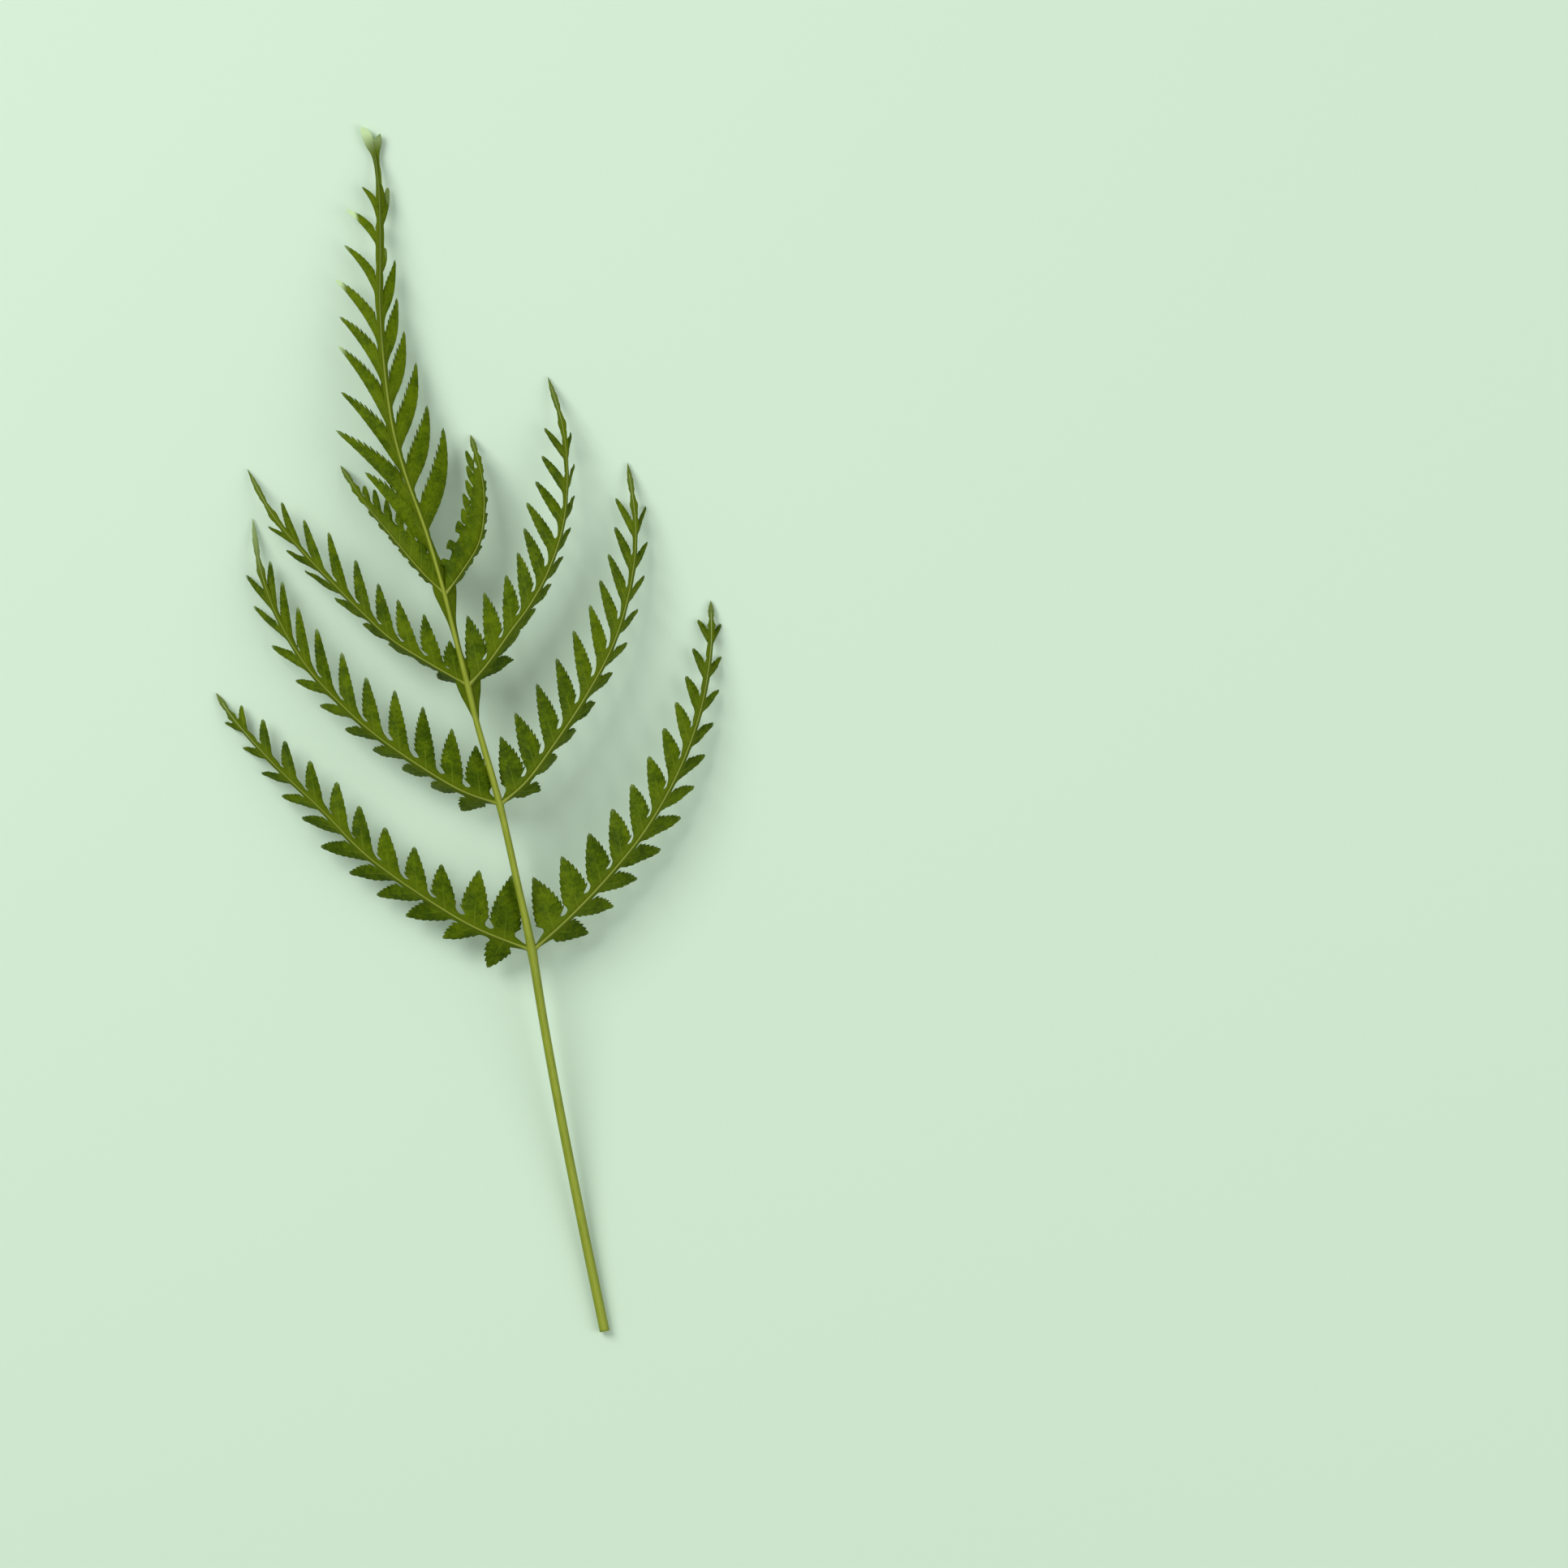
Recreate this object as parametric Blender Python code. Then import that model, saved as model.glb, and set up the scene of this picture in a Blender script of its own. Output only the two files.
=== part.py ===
# Fern frond, picked and laid down: one grown piece of stalk, ribs and thin cut blades.
# Built in millimetres and turned to metres at the end. +Y is the tip, -Y the cut stalk, +Z up.

import math
import random

import bmesh
import bpy
import numpy as np

# Whole frond, mm
MM = 0.001
BLADE_HALF = 0.33
VEIN_HALF = 0.42
STALK_SIDES = 8
STALK_STEPS = 44
FLOOR_GAP = 0.36
FLOOR_SOFTNESS = 0.35
SEED = 11

# The main stalk seen from above and from the side: x, y, height, radius
RACHIS = (
    (0.0, 0.0, 1.40, 1.35),
    (-0.4, 30.0, 3.0, 1.30),
    (-0.5, 60.0, 6.2, 1.25),
    (-0.2, 85.0, 9.4, 1.20),
    (0.4, 105.5, 12.0, 1.22),
    (0.1, 122.0, 14.0, 0.98),
    (-0.6, 146.0, 16.2, 0.95),
    (-2.4, 168.0, 17.4, 0.82),
    (-3.0, 180.0, 17.7, 0.82),
    (-3.9, 195.0, 17.7, 0.68),
    (-4.5, 206.0, 17.3, 0.66),
    (-6.1, 222.0, 16.2, 0.60),
    (-8.6, 238.0, 14.8, 0.56),
    (-9.6, 252.0, 13.2, 0.52),
    (-8.7, 268.0, 11.2, 0.48),
    (-6.8, 284.0, 9.0, 0.46),
    (-3.6, 300.0, 6.6, 0.44),
    (-1.2, 314.0, 4.4, 0.42),
    (-0.4, 322.0, 3.2, 0.42),
)

# Each side branch. path is its rib seen from above, height the height it leaves the stalk at,
# arch how far its middle is lifted, root and pitch the place of its first pair of leaflets and
# the distance to the next, and grow how much wider apart the last ones are. inner is the side
# nearer the frond's tip and outer the one nearer the cut end: the number, length and angle to
# the rib of a few leaflets, with the ones between filled in evenly. hang is how far below level
# the inner side hangs, and the outer one at its first and last leaflet, rib the half thickness
# of the rib, edge the width of the narrow blade along it on the inner and outer side and how
# much of it is lost towards the end, lean how far its notches lie forward, and broad the half
# width of a leaflet as a share of the distance between pairs, and how much of it is lost.
BRANCHES = (
    {
        "name": "lower left",
        "path": (
            (0.6, 105.0), (-13.8, 114.4), (-27.0, 126.4), (-39.0, 139.4),
            (-48.0, 153.0), (-58.0, 167.0), (-66.5, 181.0), (-70.5, 190.0),
        ),
        "height": 12.0, "arch": 3.2, "root": 8.2, "pitch": 8.9, "pairs": 11, "grow": 0.06,
        "inner": (
            (0, 18.0, 73.0), (1, 15.6, 66.0), (2, 12.6, 51.0), (3, 12.6, 50.0),
            (6, 13.2, 37.0), (9, 10.6, 35.0), (10, 7.6, 33.0),
        ),
        "outer": (
            (0, 11.6, 79.0), (1, 11.0, 52.0), (2, 12.6, 46.0), (5, 13.6, 42.0),
            (7, 11.4, 40.0), (10, 7.0, 36.0),
        ),
        "hang": (6.0, 36.0, 50.0), "rib": 0.85, "edge": (2.0, 1.8, 0.35), "lean": 0.45,
        "broad": (0.43, 0.58), "teeth": 3,
    },
    {
        "name": "lower right",
        "path": (
            (0.6, 105.0), (12.0, 111.9), (24.5, 120.8), (37.0, 131.5),
            (48.5, 145.0), (57.5, 160.0), (63.5, 176.0), (66.0, 189.0),
        ),
        "height": 12.0, "arch": 3.2, "root": 8.0, "pitch": 8.9, "pairs": 11, "grow": 0.06,
        "inner": ((0, 16.2, 68.0), (2, 14.8, 54.0), (6, 13.5, 40.0), (10, 7.6, 33.0)),
        "outer": ((0, 11.6, 54.0), (4, 13.0, 44.0), (10, 7.0, 36.0)),
        "hang": (10.0, 44.0, 50.0), "rib": 0.85, "edge": (2.0, 1.8, 0.35), "lean": 0.45,
        "broad": (0.43, 0.58), "teeth": 3,
    },
    {
        "name": "second left",
        "path": (
            (-0.4, 145.5), (-12.0, 152.8), (-28.4, 168.7), (-38.5, 181.8),
            (-45.5, 193.8), (-50.2, 207.5), (-52.2, 221.0), (-51.7, 234.6),
        ),
        "height": 16.2, "arch": 2.2, "root": 5.6, "pitch": 8.2, "pairs": 10, "grow": 0.15,
        "inner": (
            (0, 14.5, 64.0), (2, 17.4, 52.0), (3, 17.6, 48.0), (4, 15.8, 41.0),
            (6, 18.0, 32.0), (8, 15.8, 22.0), (9, 13.3, 18.0),
        ),
        "outer": ((0, 11.0, 66.0), (3, 11.5, 52.0), (6, 12.0, 44.0), (8, 14.0, 27.0), (9, 12.5, 24.0)),
        "hang": (8.0, 60.0, 42.0), "rib": 0.75, "edge": (2.0, 1.7, 0.35), "lean": 0.45,
        "broad": (0.31, 0.40), "teeth": 3,
    },
    {
        "name": "second right",
        "path": (
            (-0.4, 145.5), (7.8, 150.4), (16.2, 158.0), (27.6, 169.6),
            (38.0, 182.6), (45.4, 197.0), (49.8, 212.0), (51.0, 230.0),
        ),
        "height": 16.2, "arch": 2.2, "root": 5.6, "pitch": 8.2, "pairs": 10, "grow": 0.15,
        "inner": ((0, 16.2, 63.0), (2, 17.8, 50.0), (5, 17.0, 40.0), (9, 12.0, 28.0)),
        "outer": ((0, 10.5, 58.0), (4, 11.5, 46.0), (9, 9.5, 30.0)),
        "hang": (12.0, 60.0, 52.0), "rib": 0.75, "edge": (2.0, 1.7, 0.35), "lean": 0.45,
        "broad": (0.32, 0.40), "teeth": 3,
    },
    {
        "name": "third left",
        "path": (
            (-2.7, 178.7), (-12.3, 187.0), (-20.5, 194.7), (-26.3, 202.4),
            (-32.6, 211.6), (-40.0, 223.0), (-46.4, 235.0), (-50.6, 248.0),
        ),
        "height": 17.7, "arch": 2.0, "root": 3.4, "pitch": 6.9, "pairs": 8, "grow": 0.50,
        "inner": ((0, 11.0, 46.0), (1, 15.0, 45.0), (3, 15.0, 38.0), (5, 17.6, 29.0), (7, 13.2, 20.0)),
        "outer": ((0, 9.5, 56.0), (3, 11.0, 42.0), (5, 15.0, 32.0), (7, 10.5, 26.0)),
        "hang": (6.0, 71.0, 50.0), "rib": 0.68, "edge": (1.9, 1.8, 0.35), "lean": 0.45,
        "broad": (0.27, 0.42), "teeth": 3,
    },
    {
        "name": "third right",
        "path": (
            (-2.7, 178.7), (3.5, 183.6), (11.5, 191.2), (18.0, 197.3), (24.6, 205.5),
            (30.6, 216.5), (34.4, 230.0), (35.6, 243.0), (34.2, 257.0),
        ),
        "height": 17.7, "arch": 2.0, "root": 4.4, "pitch": 7.4, "pairs": 9, "grow": 0.25,
        "inner": ((0, 16.6, 51.0), (1, 16.8, 45.0), (2, 14.8, 41.0), (5, 15.8, 48.0), (8, 10.5, 32.0)),
        "outer": ((0, 12.9, 44.0), (2, 11.5, 42.0), (8, 8.5, 32.0)),
        "hang": (10.0, 58.0, 66.0), "rib": 0.68, "edge": (1.9, 1.8, 0.35), "lean": 0.45,
        "broad": (0.30, 0.42), "teeth": 3,
    },
    {
        "name": "fourth left",
        "path": (
            (-4.3, 204.3), (-9.6, 212.0), (-15.5, 222.6), (-21.0, 233.0), (-25.6, 244.0),
        ),
        "height": 17.3, "arch": 1.2, "root": 4.6, "pitch": 4.4, "pairs": 7, "grow": 0.1,
        "inner": ((0, 9.0, 42.0), (3, 10.6, 34.0), (5, 9.0, 28.0), (6, 6.4, 24.0)),
        "outer": ((0, 5.5, 38.0), (6, 4.2, 30.0)),
        "hang": (8.0, 70.0, 64.0), "rib": 0.55, "edge": (4.4, 2.0, 0.65), "lean": 1.2,
        "broad": (0.25, 0.42), "teeth": 1,
    },
    {
        "name": "fourth right",
        "path": (
            (-4.0, 204.3), (1.6, 209.6), (7.4, 216.2), (10.4, 224.6),
            (11.5, 234.0), (10.6, 245.5),
        ),
        "height": 17.3, "arch": 1.2, "root": 3.6, "pitch": 4.3, "pairs": 8, "grow": 0.1,
        "inner": ((0, 7.4, 58.0), (2, 10.6, 50.0), (4, 10.8, 35.0), (7, 9.6, 18.0)),
        "outer": ((0, 5.5, 38.0), (7, 4.2, 30.0)),
        "hang": (8.0, 72.0, 68.0), "rib": 0.55, "edge": (4.4, 2.0, 0.50), "lean": 1.2,
        "broad": (0.25, 0.42), "teeth": 1,
    },
)

# Upper part of the frond, where single lobes sit on the main stalk, left and right by turns:
# where each roots, its length and the angle between it and the stalk.
APEX_LEFT = (
    (219.5, 25.5, 20.0), (230.8, 29.0, 22.0), (242.2, 25.0, 19.0), (253.6, 25.0, 20.0),
    (265.6, 20.5, 26.0), (275.6, 20.7, 28.0), (287.8, 16.5, 31.0), (300.6, 13.5, 38.0),
    (311.0, 7.5, 20.0),
)
APEX_RIGHT = (
    (225.2, 27.5, 46.0), (236.6, 22.5, 47.0), (247.9, 23.0, 42.0), (259.4, 19.5, 34.0),
    (270.6, 17.0, 31.0), (282.0, 16.0, 30.0), (294.2, 7.5, 26.0), (306.2, 10.4, 27.0),
)
APEX_HANG = (6.0, 30.0)
APEX_CURL = (12.0, -18.0)
# The half width of the first lobe on each side, and how much of it is lost towards the tip.
APEX_BROAD = ((2.4, 1.4), (2.9, 1.7))
APEX_PITCH = 11.5
# The narrow green edges of the main stalk below that: where along it, and how wide.
APEX_PLAIN = (
    (171.5, 0.5), (176.0, 1.6), (180.5, 3.0), (186.0, 1.0), (193.0, 0.75),
    (199.5, 1.4), (206.5, 2.6), (212.0, 1.3),
)
APEX_LAST = 317.0
# The neck drifts to the right and falls by these shares of its length.
NECK_DRIFT = 0.10
NECK_FALL = 0.28
APEX_NECK = ((321.8, 0.85), (325.2, 1.2))
FORK_LEFT = ((-2.8, 330.2, 0.9), (-2.5, 333.1, 0.5), (-0.3, 330.0, 0.7))
FORK_RIGHT = ((0.5, 328.6, 0.7), (2.1, 330.5, 0.5), (2.3, 328.0, 0.9))
# How far below its root a leaflet leaves the rib's narrow edge, and how far above it the
# notch is, as shares of the distance between roots.
LEAVE_SHARE = 0.36
NOTCH_SHARE = 0.35
# How deep the teeth are on a leaflet's lower and upper edge, as shares of a full tooth.
LEAFLET_SAW = (0.6, 1.0)
LOBE_SAW = (0.15, 1.25)
APEX_LEAN = 0.45
LENGTH_VARIES = 0.04


def smooth_curve(points, count):
    """Even stations along a curve that passes through the points."""
    pts = np.array(points, float)
    padded = np.vstack([2.0 * pts[0] - pts[1], pts, 2.0 * pts[-1] - pts[-2]])
    fine = []
    for i in range(len(pts) - 1):
        p0, p1, p2, p3 = padded[i : i + 4]
        for t in np.linspace(0.0, 1.0, 24, endpoint=False):
            a = 2.0 * p1 + (p2 - p0) * t
            b = (2.0 * p0 - 5.0 * p1 + 4.0 * p2 - p3) * t * t
            c = (3.0 * p1 - p0 - 3.0 * p2 + p3) * t**3
            fine.append(0.5 * (a + b + c))
    fine.append(pts[-1])
    fine = np.array(fine)
    steps = np.linalg.norm(np.diff(fine[:, :2], axis=0), axis=1)
    run = np.concatenate([[0.0], np.cumsum(steps)])
    want = np.linspace(0.0, run[-1], count)
    columns = [np.interp(want, run, fine[:, k]) for k in range(fine.shape[1])]
    return np.stack(columns, axis=1), run[-1]


def unit(vector):
    """The same direction with a length of one."""
    return vector / max(np.linalg.norm(vector), 1e-9)


def rest_on_surface(height):
    """Bend anything that would go under the surface so that it lies along it."""
    x = (height - FLOOR_GAP) / FLOOR_SOFTNESS
    if x > 30.0:
        return height
    return FLOOR_GAP + FLOOR_SOFTNESS * math.log1p(math.exp(x))


class Sheet:
    """A thin blade: points of its middle surface, half thicknesses and triangles."""

    def __init__(self):
        self.points = []
        self.halves = []
        self.triangles = []

    def add(self, point, half):
        """Add one point of the middle surface."""
        self.points.append((point[0], point[1], rest_on_surface(point[2])))
        self.halves.append(half)
        return len(self.points) - 1

    def face(self, a, b, c, flip):
        """Add one triangle, facing up."""
        self.triangles.append((a, c, b) if flip else (a, b, c))


def margin_width(q, start, widest):
    """Half width of a leaflet from its notch at q = 0 to its point at q = 1."""
    places = (0.0, 0.15, 0.30, 0.50, 0.70, 0.85, 1.0)
    widths = (start, widest, widest * 0.96, widest * 0.80, widest * 0.56, widest * 0.32, 0.0)
    return float(np.interp(q, places, widths))


def add_lobe(sheet, root, low_notch, high_notch, along, out, spec):
    """A pointed, toothed leaflet between two notches, rooted on the rib at the point root."""
    flip = spec["flip"]
    base = np.array(sheet.points[root])
    length = spec["length"]
    teeth = spec["teeth"]
    up = unit(np.cross(along, out)) * (-1.0 if flip else 1.0)

    def heading(t):
        return math.radians(spec["spread"] + spec["curl"] * t)

    def middle(t):
        steps = 8
        place = np.zeros(3)
        for i in range(steps):
            a = heading(t * (i + 0.5) / steps)
            place = place + (math.cos(a) * along + math.sin(a) * out) * (t * length / steps)
        return base + place - up * (spec["droop"] * length * t * t)

    def across(t):
        a = heading(t)
        return math.sin(a) * along - math.cos(a) * out

    tip = sheet.add(middle(1.0), BLADE_HALF)
    cuts = [0.30 + 0.62 * k / teeth for k in range(1, teeth + 1)]
    mids = [sheet.add(middle(c - 0.06) - up * 0.22, VEIN_HALF) for c in cuts]
    for sign, notch in ((-1.0, low_notch), (1.0, high_notch)):
        side_flip = not flip if sign > 0.0 else flip
        depth = spec["tooth"] * spec["saw"][0 if sign < 0.0 else 1]
        start = np.array(sheet.points[notch]) - base
        axis = math.cos(heading(0.0)) * along + math.sin(heading(0.0)) * out
        t_start = float(np.dot(start, axis)) / length
        w_start = abs(float(np.dot(start, across(0.0))))
        previous_margin = notch
        previous_middle = root
        for k in range(teeth):
            q_tooth = (k + 0.80) / (teeth + 0.55)
            q_notch = (k + 1.0) / (teeth + 0.55)
            t_tooth = t_start + (1.0 - t_start) * q_tooth
            t_notch = t_start + (1.0 - t_start) * q_notch
            wide = margin_width(q_tooth, w_start, spec["width"]) + depth * 0.35
            narrow = margin_width(q_notch, w_start, spec["width"]) - depth * 0.65
            tooth_at = middle(t_tooth) + across(t_tooth) * sign * wide
            notch_at = middle(t_notch) + across(t_notch) * sign * max(narrow, 0.3)
            tooth = sheet.add(tooth_at - up * 0.15, BLADE_HALF)
            cut = sheet.add(notch_at, BLADE_HALF)
            sheet.face(previous_middle, tooth, previous_margin, side_flip)
            sheet.face(previous_middle, mids[k], tooth, side_flip)
            sheet.face(mids[k], cut, tooth, side_flip)
            previous_margin = cut
            previous_middle = mids[k]
        sheet.face(previous_middle, tip, previous_margin, side_flip)


def blade_from_rib(ribs, sides, tip_rows):
    """A blade along a rib. ribs holds each station's point, direction and half thickness.
    Each side has its hang in degrees at the first and the last station, how far its notches
    lean forward, the width of its narrow edge at the stations where it has one, and its
    leaflets by the station they root at."""
    sheet = Sheet()
    spine = [sheet.add(r["at"], r["half"]) for r in ribs]
    ends = {}
    for side in sides:
        sign = side["sign"]
        flip = sign < 0.0
        hangs = np.radians(np.linspace(side["hang"][0], side["hang"][1], len(ribs)))
        down = np.array([0.0, 0.0, -1.0])
        outs = [
            math.cos(hang) * sign * r["left"] + math.sin(hang) * down
            for r, hang in zip(ribs, hangs)
        ]
        edges = {}
        for k, width in side["wing"].items():
            lean = unit(side["lean"] * ribs[k]["along"] + outs[k])
            edges[k] = sheet.add(ribs[k]["at"] + lean * width, BLADE_HALF)
        order = sorted(edges)
        for low, high in zip(order, order[1:]):
            root = next((k for k in side["lobes"] if low < k < high), None)
            turn = (low + high) // 2 if root is None else root
            for k in range(low, high):
                held = edges[low] if k < turn else edges[high]
                sheet.face(spine[k], spine[k + 1], held, flip)
            if root is None:
                sheet.face(spine[turn], edges[high], edges[low], flip)
                continue
            spec = dict(side["lobes"][root], flip=flip)
            add_lobe(sheet, spine[root], edges[low], edges[high], ribs[root]["along"],
                     outs[root], spec)
        ends[sign] = edges[order[-1]]
    add_tip(sheet, spine[-1], ends[1.0], ends[-1.0], tip_rows)
    return sheet


def add_tip(sheet, spine, left, right, rows):
    """Carry the blade on past its last notch to its point."""
    for row in rows[:-1]:
        next_left = sheet.add(row[0], BLADE_HALF)
        next_spine = sheet.add(row[1], BLADE_HALF)
        next_right = sheet.add(row[2], BLADE_HALF)
        sheet.face(spine, next_spine, next_left, False)
        sheet.face(spine, next_left, left, False)
        sheet.face(spine, next_right, next_spine, False)
        sheet.face(spine, right, next_right, False)
        spine, left, right = next_spine, next_left, next_right
    tips = rows[-1]
    if len(tips) == 1:
        point = sheet.add(tips[0], BLADE_HALF)
        sheet.face(spine, point, left, False)
        sheet.face(spine, right, point, False)
        return
    outer, point, inner = (sheet.add(at, BLADE_HALF) for at in tips[0])
    sheet.face(spine, outer, left, False)
    sheet.face(spine, inner, outer, False)
    sheet.face(inner, point, outer, False)
    inner, point, outer = (sheet.add(at, BLADE_HALF) for at in tips[1])
    sheet.face(spine, right, outer, False)
    sheet.face(spine, outer, inner, False)
    sheet.face(inner, outer, point, False)


def solid_from_sheet(name, sheet):
    """Give a sheet its thickness: the same triangles above and below, and a rim."""
    points = np.array(sheet.points)
    halves = np.array(sheet.halves)[:, None]
    triangles = np.array(sheet.triangles)
    a, b, c = (points[triangles[:, k]] for k in range(3))
    normals = np.cross(b - a, c - a)
    at_points = np.zeros_like(points)
    for k in range(3):
        np.add.at(at_points, triangles[:, k], normals)
    at_points /= np.linalg.norm(at_points, axis=1)[:, None]
    top = points + at_points * halves
    bottom = points - at_points * halves
    count = len(points)
    edges = set()
    for t in sheet.triangles:
        edges.update(((t[0], t[1]), (t[1], t[2]), (t[2], t[0])))
    faces = [tuple(t) for t in sheet.triangles]
    faces += [(t[0] + count, t[2] + count, t[1] + count) for t in sheet.triangles]
    for p, q in sorted(edges):
        if (q, p) not in edges:
            faces.append((q, p, p + count))
            faces.append((q, p + count, q + count))
    return mesh_object(name, np.vstack([top, bottom]), faces)


def mesh_object(name, points, faces):
    """A mesh object in metres from points in millimetres."""
    mesh = bpy.data.meshes.new(name)
    mesh.from_pydata([tuple(float(v) * MM for v in p) for p in points], [], faces)
    mesh.validate()
    return bpy.data.objects.new(name, mesh)


def rib_stations(path, places, total, heights, radius):
    """Points along a rib with their directions, at the given distances from its root."""
    fine, _ = smooth_curve(path, 200)
    run = np.linspace(0.0, total, 200)
    level = np.array([heights(d / total) for d in run])
    curve = np.column_stack([fine[:, 0], fine[:, 1], level])
    slopes = np.gradient(curve, run, axis=0)
    ribs = []
    for d in places:
        at = np.array([np.interp(d, run, curve[:, k]) for k in range(3)])
        along = unit(np.array([np.interp(d, run, slopes[:, k]) for k in range(3)]))
        left = unit(np.cross([0.0, 0.0, 1.0], along))
        ribs.append({"at": at, "along": along, "left": left, "half": radius(d / total)})
    return ribs


def leaflet(length, width, spread, curl, share, teeth, saw):
    """Sizes of one leaflet; share tells how near its branch's end it is."""
    return {
        "length": length,
        "width": width,
        "spread": spread,
        "curl": curl,
        "droop": 0.05,
        "teeth": teeth,
        "tooth": 0.95 - 0.35 * share,
        "saw": saw,
    }


def side_branch(spec, rng):
    """One side branch: a rib with pairs of toothed leaflets and a bare tip."""
    _, total = smooth_curve(spec["path"], 200)
    pairs = spec["pairs"]
    roots = [spec["root"]]
    pitches = [spec["pitch"] * (1.0 + spec["grow"] * i / pairs) for i in range(pairs)]
    for pitch in pitches[:-1]:
        roots.append(roots[-1] + pitch)
    places = [0.0]
    for root, pitch in zip(roots, pitches):
        places += [root - LEAVE_SHARE * pitch, root, root + NOTCH_SHARE * pitch]

    def heights(u):
        fall = spec["height"] * (1.0 - u**1.7)
        return fall + spec["arch"] * 4.0 * u * (1.0 - u) + 0.4 * u

    def radius(u):
        return BLADE_HALF + (spec["rib"] - BLADE_HALF) * (1.0 - u) ** 0.8

    ribs = rib_stations(spec["path"], places, total, heights, radius)
    inner_sign = 1.0 if spec["path"][-1][0] > spec["path"][0][0] else -1.0
    sides = []
    for which, measured in enumerate((spec["inner"], spec["outer"])):
        numbers, lengths, spreads = np.array(measured).T
        lobes = {}
        wing = {0: 0.4}
        for i in range(pairs):
            share = i / (pairs - 1)
            length = float(np.interp(i, numbers, lengths))
            length *= 1.0 + LENGTH_VARIES * (rng.random() - 0.5)
            spread = float(np.interp(i, numbers, spreads))
            width = min(spec["broad"][0] * pitches[i] + 0.3, 0.29 * length)
            width *= 1.0 - spec["broad"][1] * share**0.7
            teeth = max(spec["teeth"] - which - (1 if share > 0.45 else 0), 1)
            station = 2 + 3 * i
            curl = 6.0 - 4.0 * share
            lobes[station] = leaflet(length, width, spread, curl, share, teeth, LEAFLET_SAW)
            edge = spec["edge"][which] * (1.0 - spec["edge"][2] * share)
            wing[station - 1] = edge
            wing[station + 1] = edge
        sign = inner_sign if which == 0 else -inner_sign
        hang = (spec["hang"][which], spec["hang"][2 * which])
        side = {"sign": sign, "hang": hang, "lean": spec["lean"], "lobes": lobes, "wing": wing}
        sides.append(side)
    last = places[-1]
    return blade_from_rib(ribs, sides, tip_of_branch(spec, last, total, heights))


def tip_of_branch(spec, start, total, heights):
    """The narrow strap that ends a branch, with a low tooth on each side."""
    places = [start + (total - start) * s for s in (0.24, 0.36, 0.54, 0.62, 1.0)]
    ends = rib_stations(spec["path"], places, total, heights, lambda u: BLADE_HALF)
    widths = (0.75, 1.2, 0.6, 0.85)
    rows = []
    for end, width in zip(ends, widths):
        rows.append((end["at"] + end["left"] * width, end["at"], end["at"] - end["left"] * width))
    rows.append((ends[-1]["at"],))
    return rows


def upper_frond():
    """The upper part: the main stalk with its narrow green edges, single lobes and forked tip."""
    table = np.array(RACHIS)
    dense, _ = smooth_curve(RACHIS, 400)

    def at(y):
        return np.array([np.interp(y, dense[:, 1], dense[:, k]) for k in range(3)])

    wings = [{}, {}]
    roots = [{}, {}]
    for y, width in APEX_PLAIN:
        wings[0][y] = width
        wings[1][y] = width
    for which, table_of in enumerate((APEX_LEFT, APEX_RIGHT)):
        for i, (y, length, spread) in enumerate(table_of):
            share = i / (len(table_of) - 1)
            reach = APEX_PITCH * (1.0 - 0.25 * share)
            width = APEX_BROAD[which][0] - APEX_BROAD[which][1] * share
            teeth = 3 if length > 18.0 else (2 if length > 12.0 else 1)
            curl = APEX_CURL[which]
            roots[which][y] = leaflet(length, width, spread, curl, share, teeth, LOBE_SAW)
            wings[which][y - LEAVE_SHARE * reach] = 1.0 - 0.2 * share
            wings[which][y + NOTCH_SHARE * reach] = 1.0 - 0.2 * share
        wings[which][APEX_LAST] = 0.85
    stations = sorted({y for group in (*wings, *roots) for y in group})
    ribs = []
    for y in stations:
        along = unit(at(y + 1.0) - at(y - 1.0))
        left = unit(np.cross([0.0, 0.0, 1.0], along))
        half = float(np.interp(y, table[:, 1], table[:, 3])) * 0.8
        ribs.append({"at": at(y), "along": along, "left": left, "half": max(half, BLADE_HALF)})
    number = {y: k for k, y in enumerate(stations)}
    sides = []
    for which, sign in ((0, 1.0), (1, -1.0)):
        lobes = {number[y]: lobe for y, lobe in roots[which].items()}
        wing = {number[y]: width for y, width in wings[which].items()}
        hang = (APEX_HANG[which], APEX_HANG[which])
        side = {"sign": sign, "hang": hang, "lean": APEX_LEAN, "lobes": lobes, "wing": wing}
        sides.append(side)
    end = at(APEX_LAST)
    rows = []
    for y, width in APEX_NECK:
        on = y - APEX_LAST
        centre = np.array([end[0] + NECK_DRIFT * on, y, end[2] - NECK_FALL * on])
        side = np.array([width, 0.0, 0.0])
        rows.append((centre - side, centre, centre + side))
    rows.append((FORK_LEFT, FORK_RIGHT))
    return blade_from_rib(ribs, sides, rows)


def main_stalk():
    """The main stalk: a tapering rod with its cut end flat, up into the frond's tip."""
    points, _ = smooth_curve(RACHIS, STALK_STEPS)
    centres = points[:, :3]
    radii = points[:, 3]
    along = np.gradient(centres, axis=0)
    rings = []
    for centre, radius, direction in zip(centres, radii, along):
        direction = unit(direction)
        side = unit(np.cross(direction, [0.0, 0.0, 1.0]))
        up = np.cross(side, direction)
        for k in range(STALK_SIDES):
            a = 2.0 * math.pi * (k + 0.5) / STALK_SIDES
            rings.append(centre + radius * (math.cos(a) * side + math.sin(a) * up))
    faces = []
    for i in range(STALK_STEPS - 1):
        for k in range(STALK_SIDES):
            n = (k + 1) % STALK_SIDES
            a = i * STALK_SIDES + k
            b = i * STALK_SIDES + n
            faces.append((a, b, b + STALK_SIDES, a + STALK_SIDES))
    faces.append(tuple(reversed(range(STALK_SIDES))))
    last = (STALK_STEPS - 1) * STALK_SIDES
    faces.append(tuple(range(last, last + STALK_SIDES)))
    return mesh_object("stalk", rings, faces)


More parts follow.
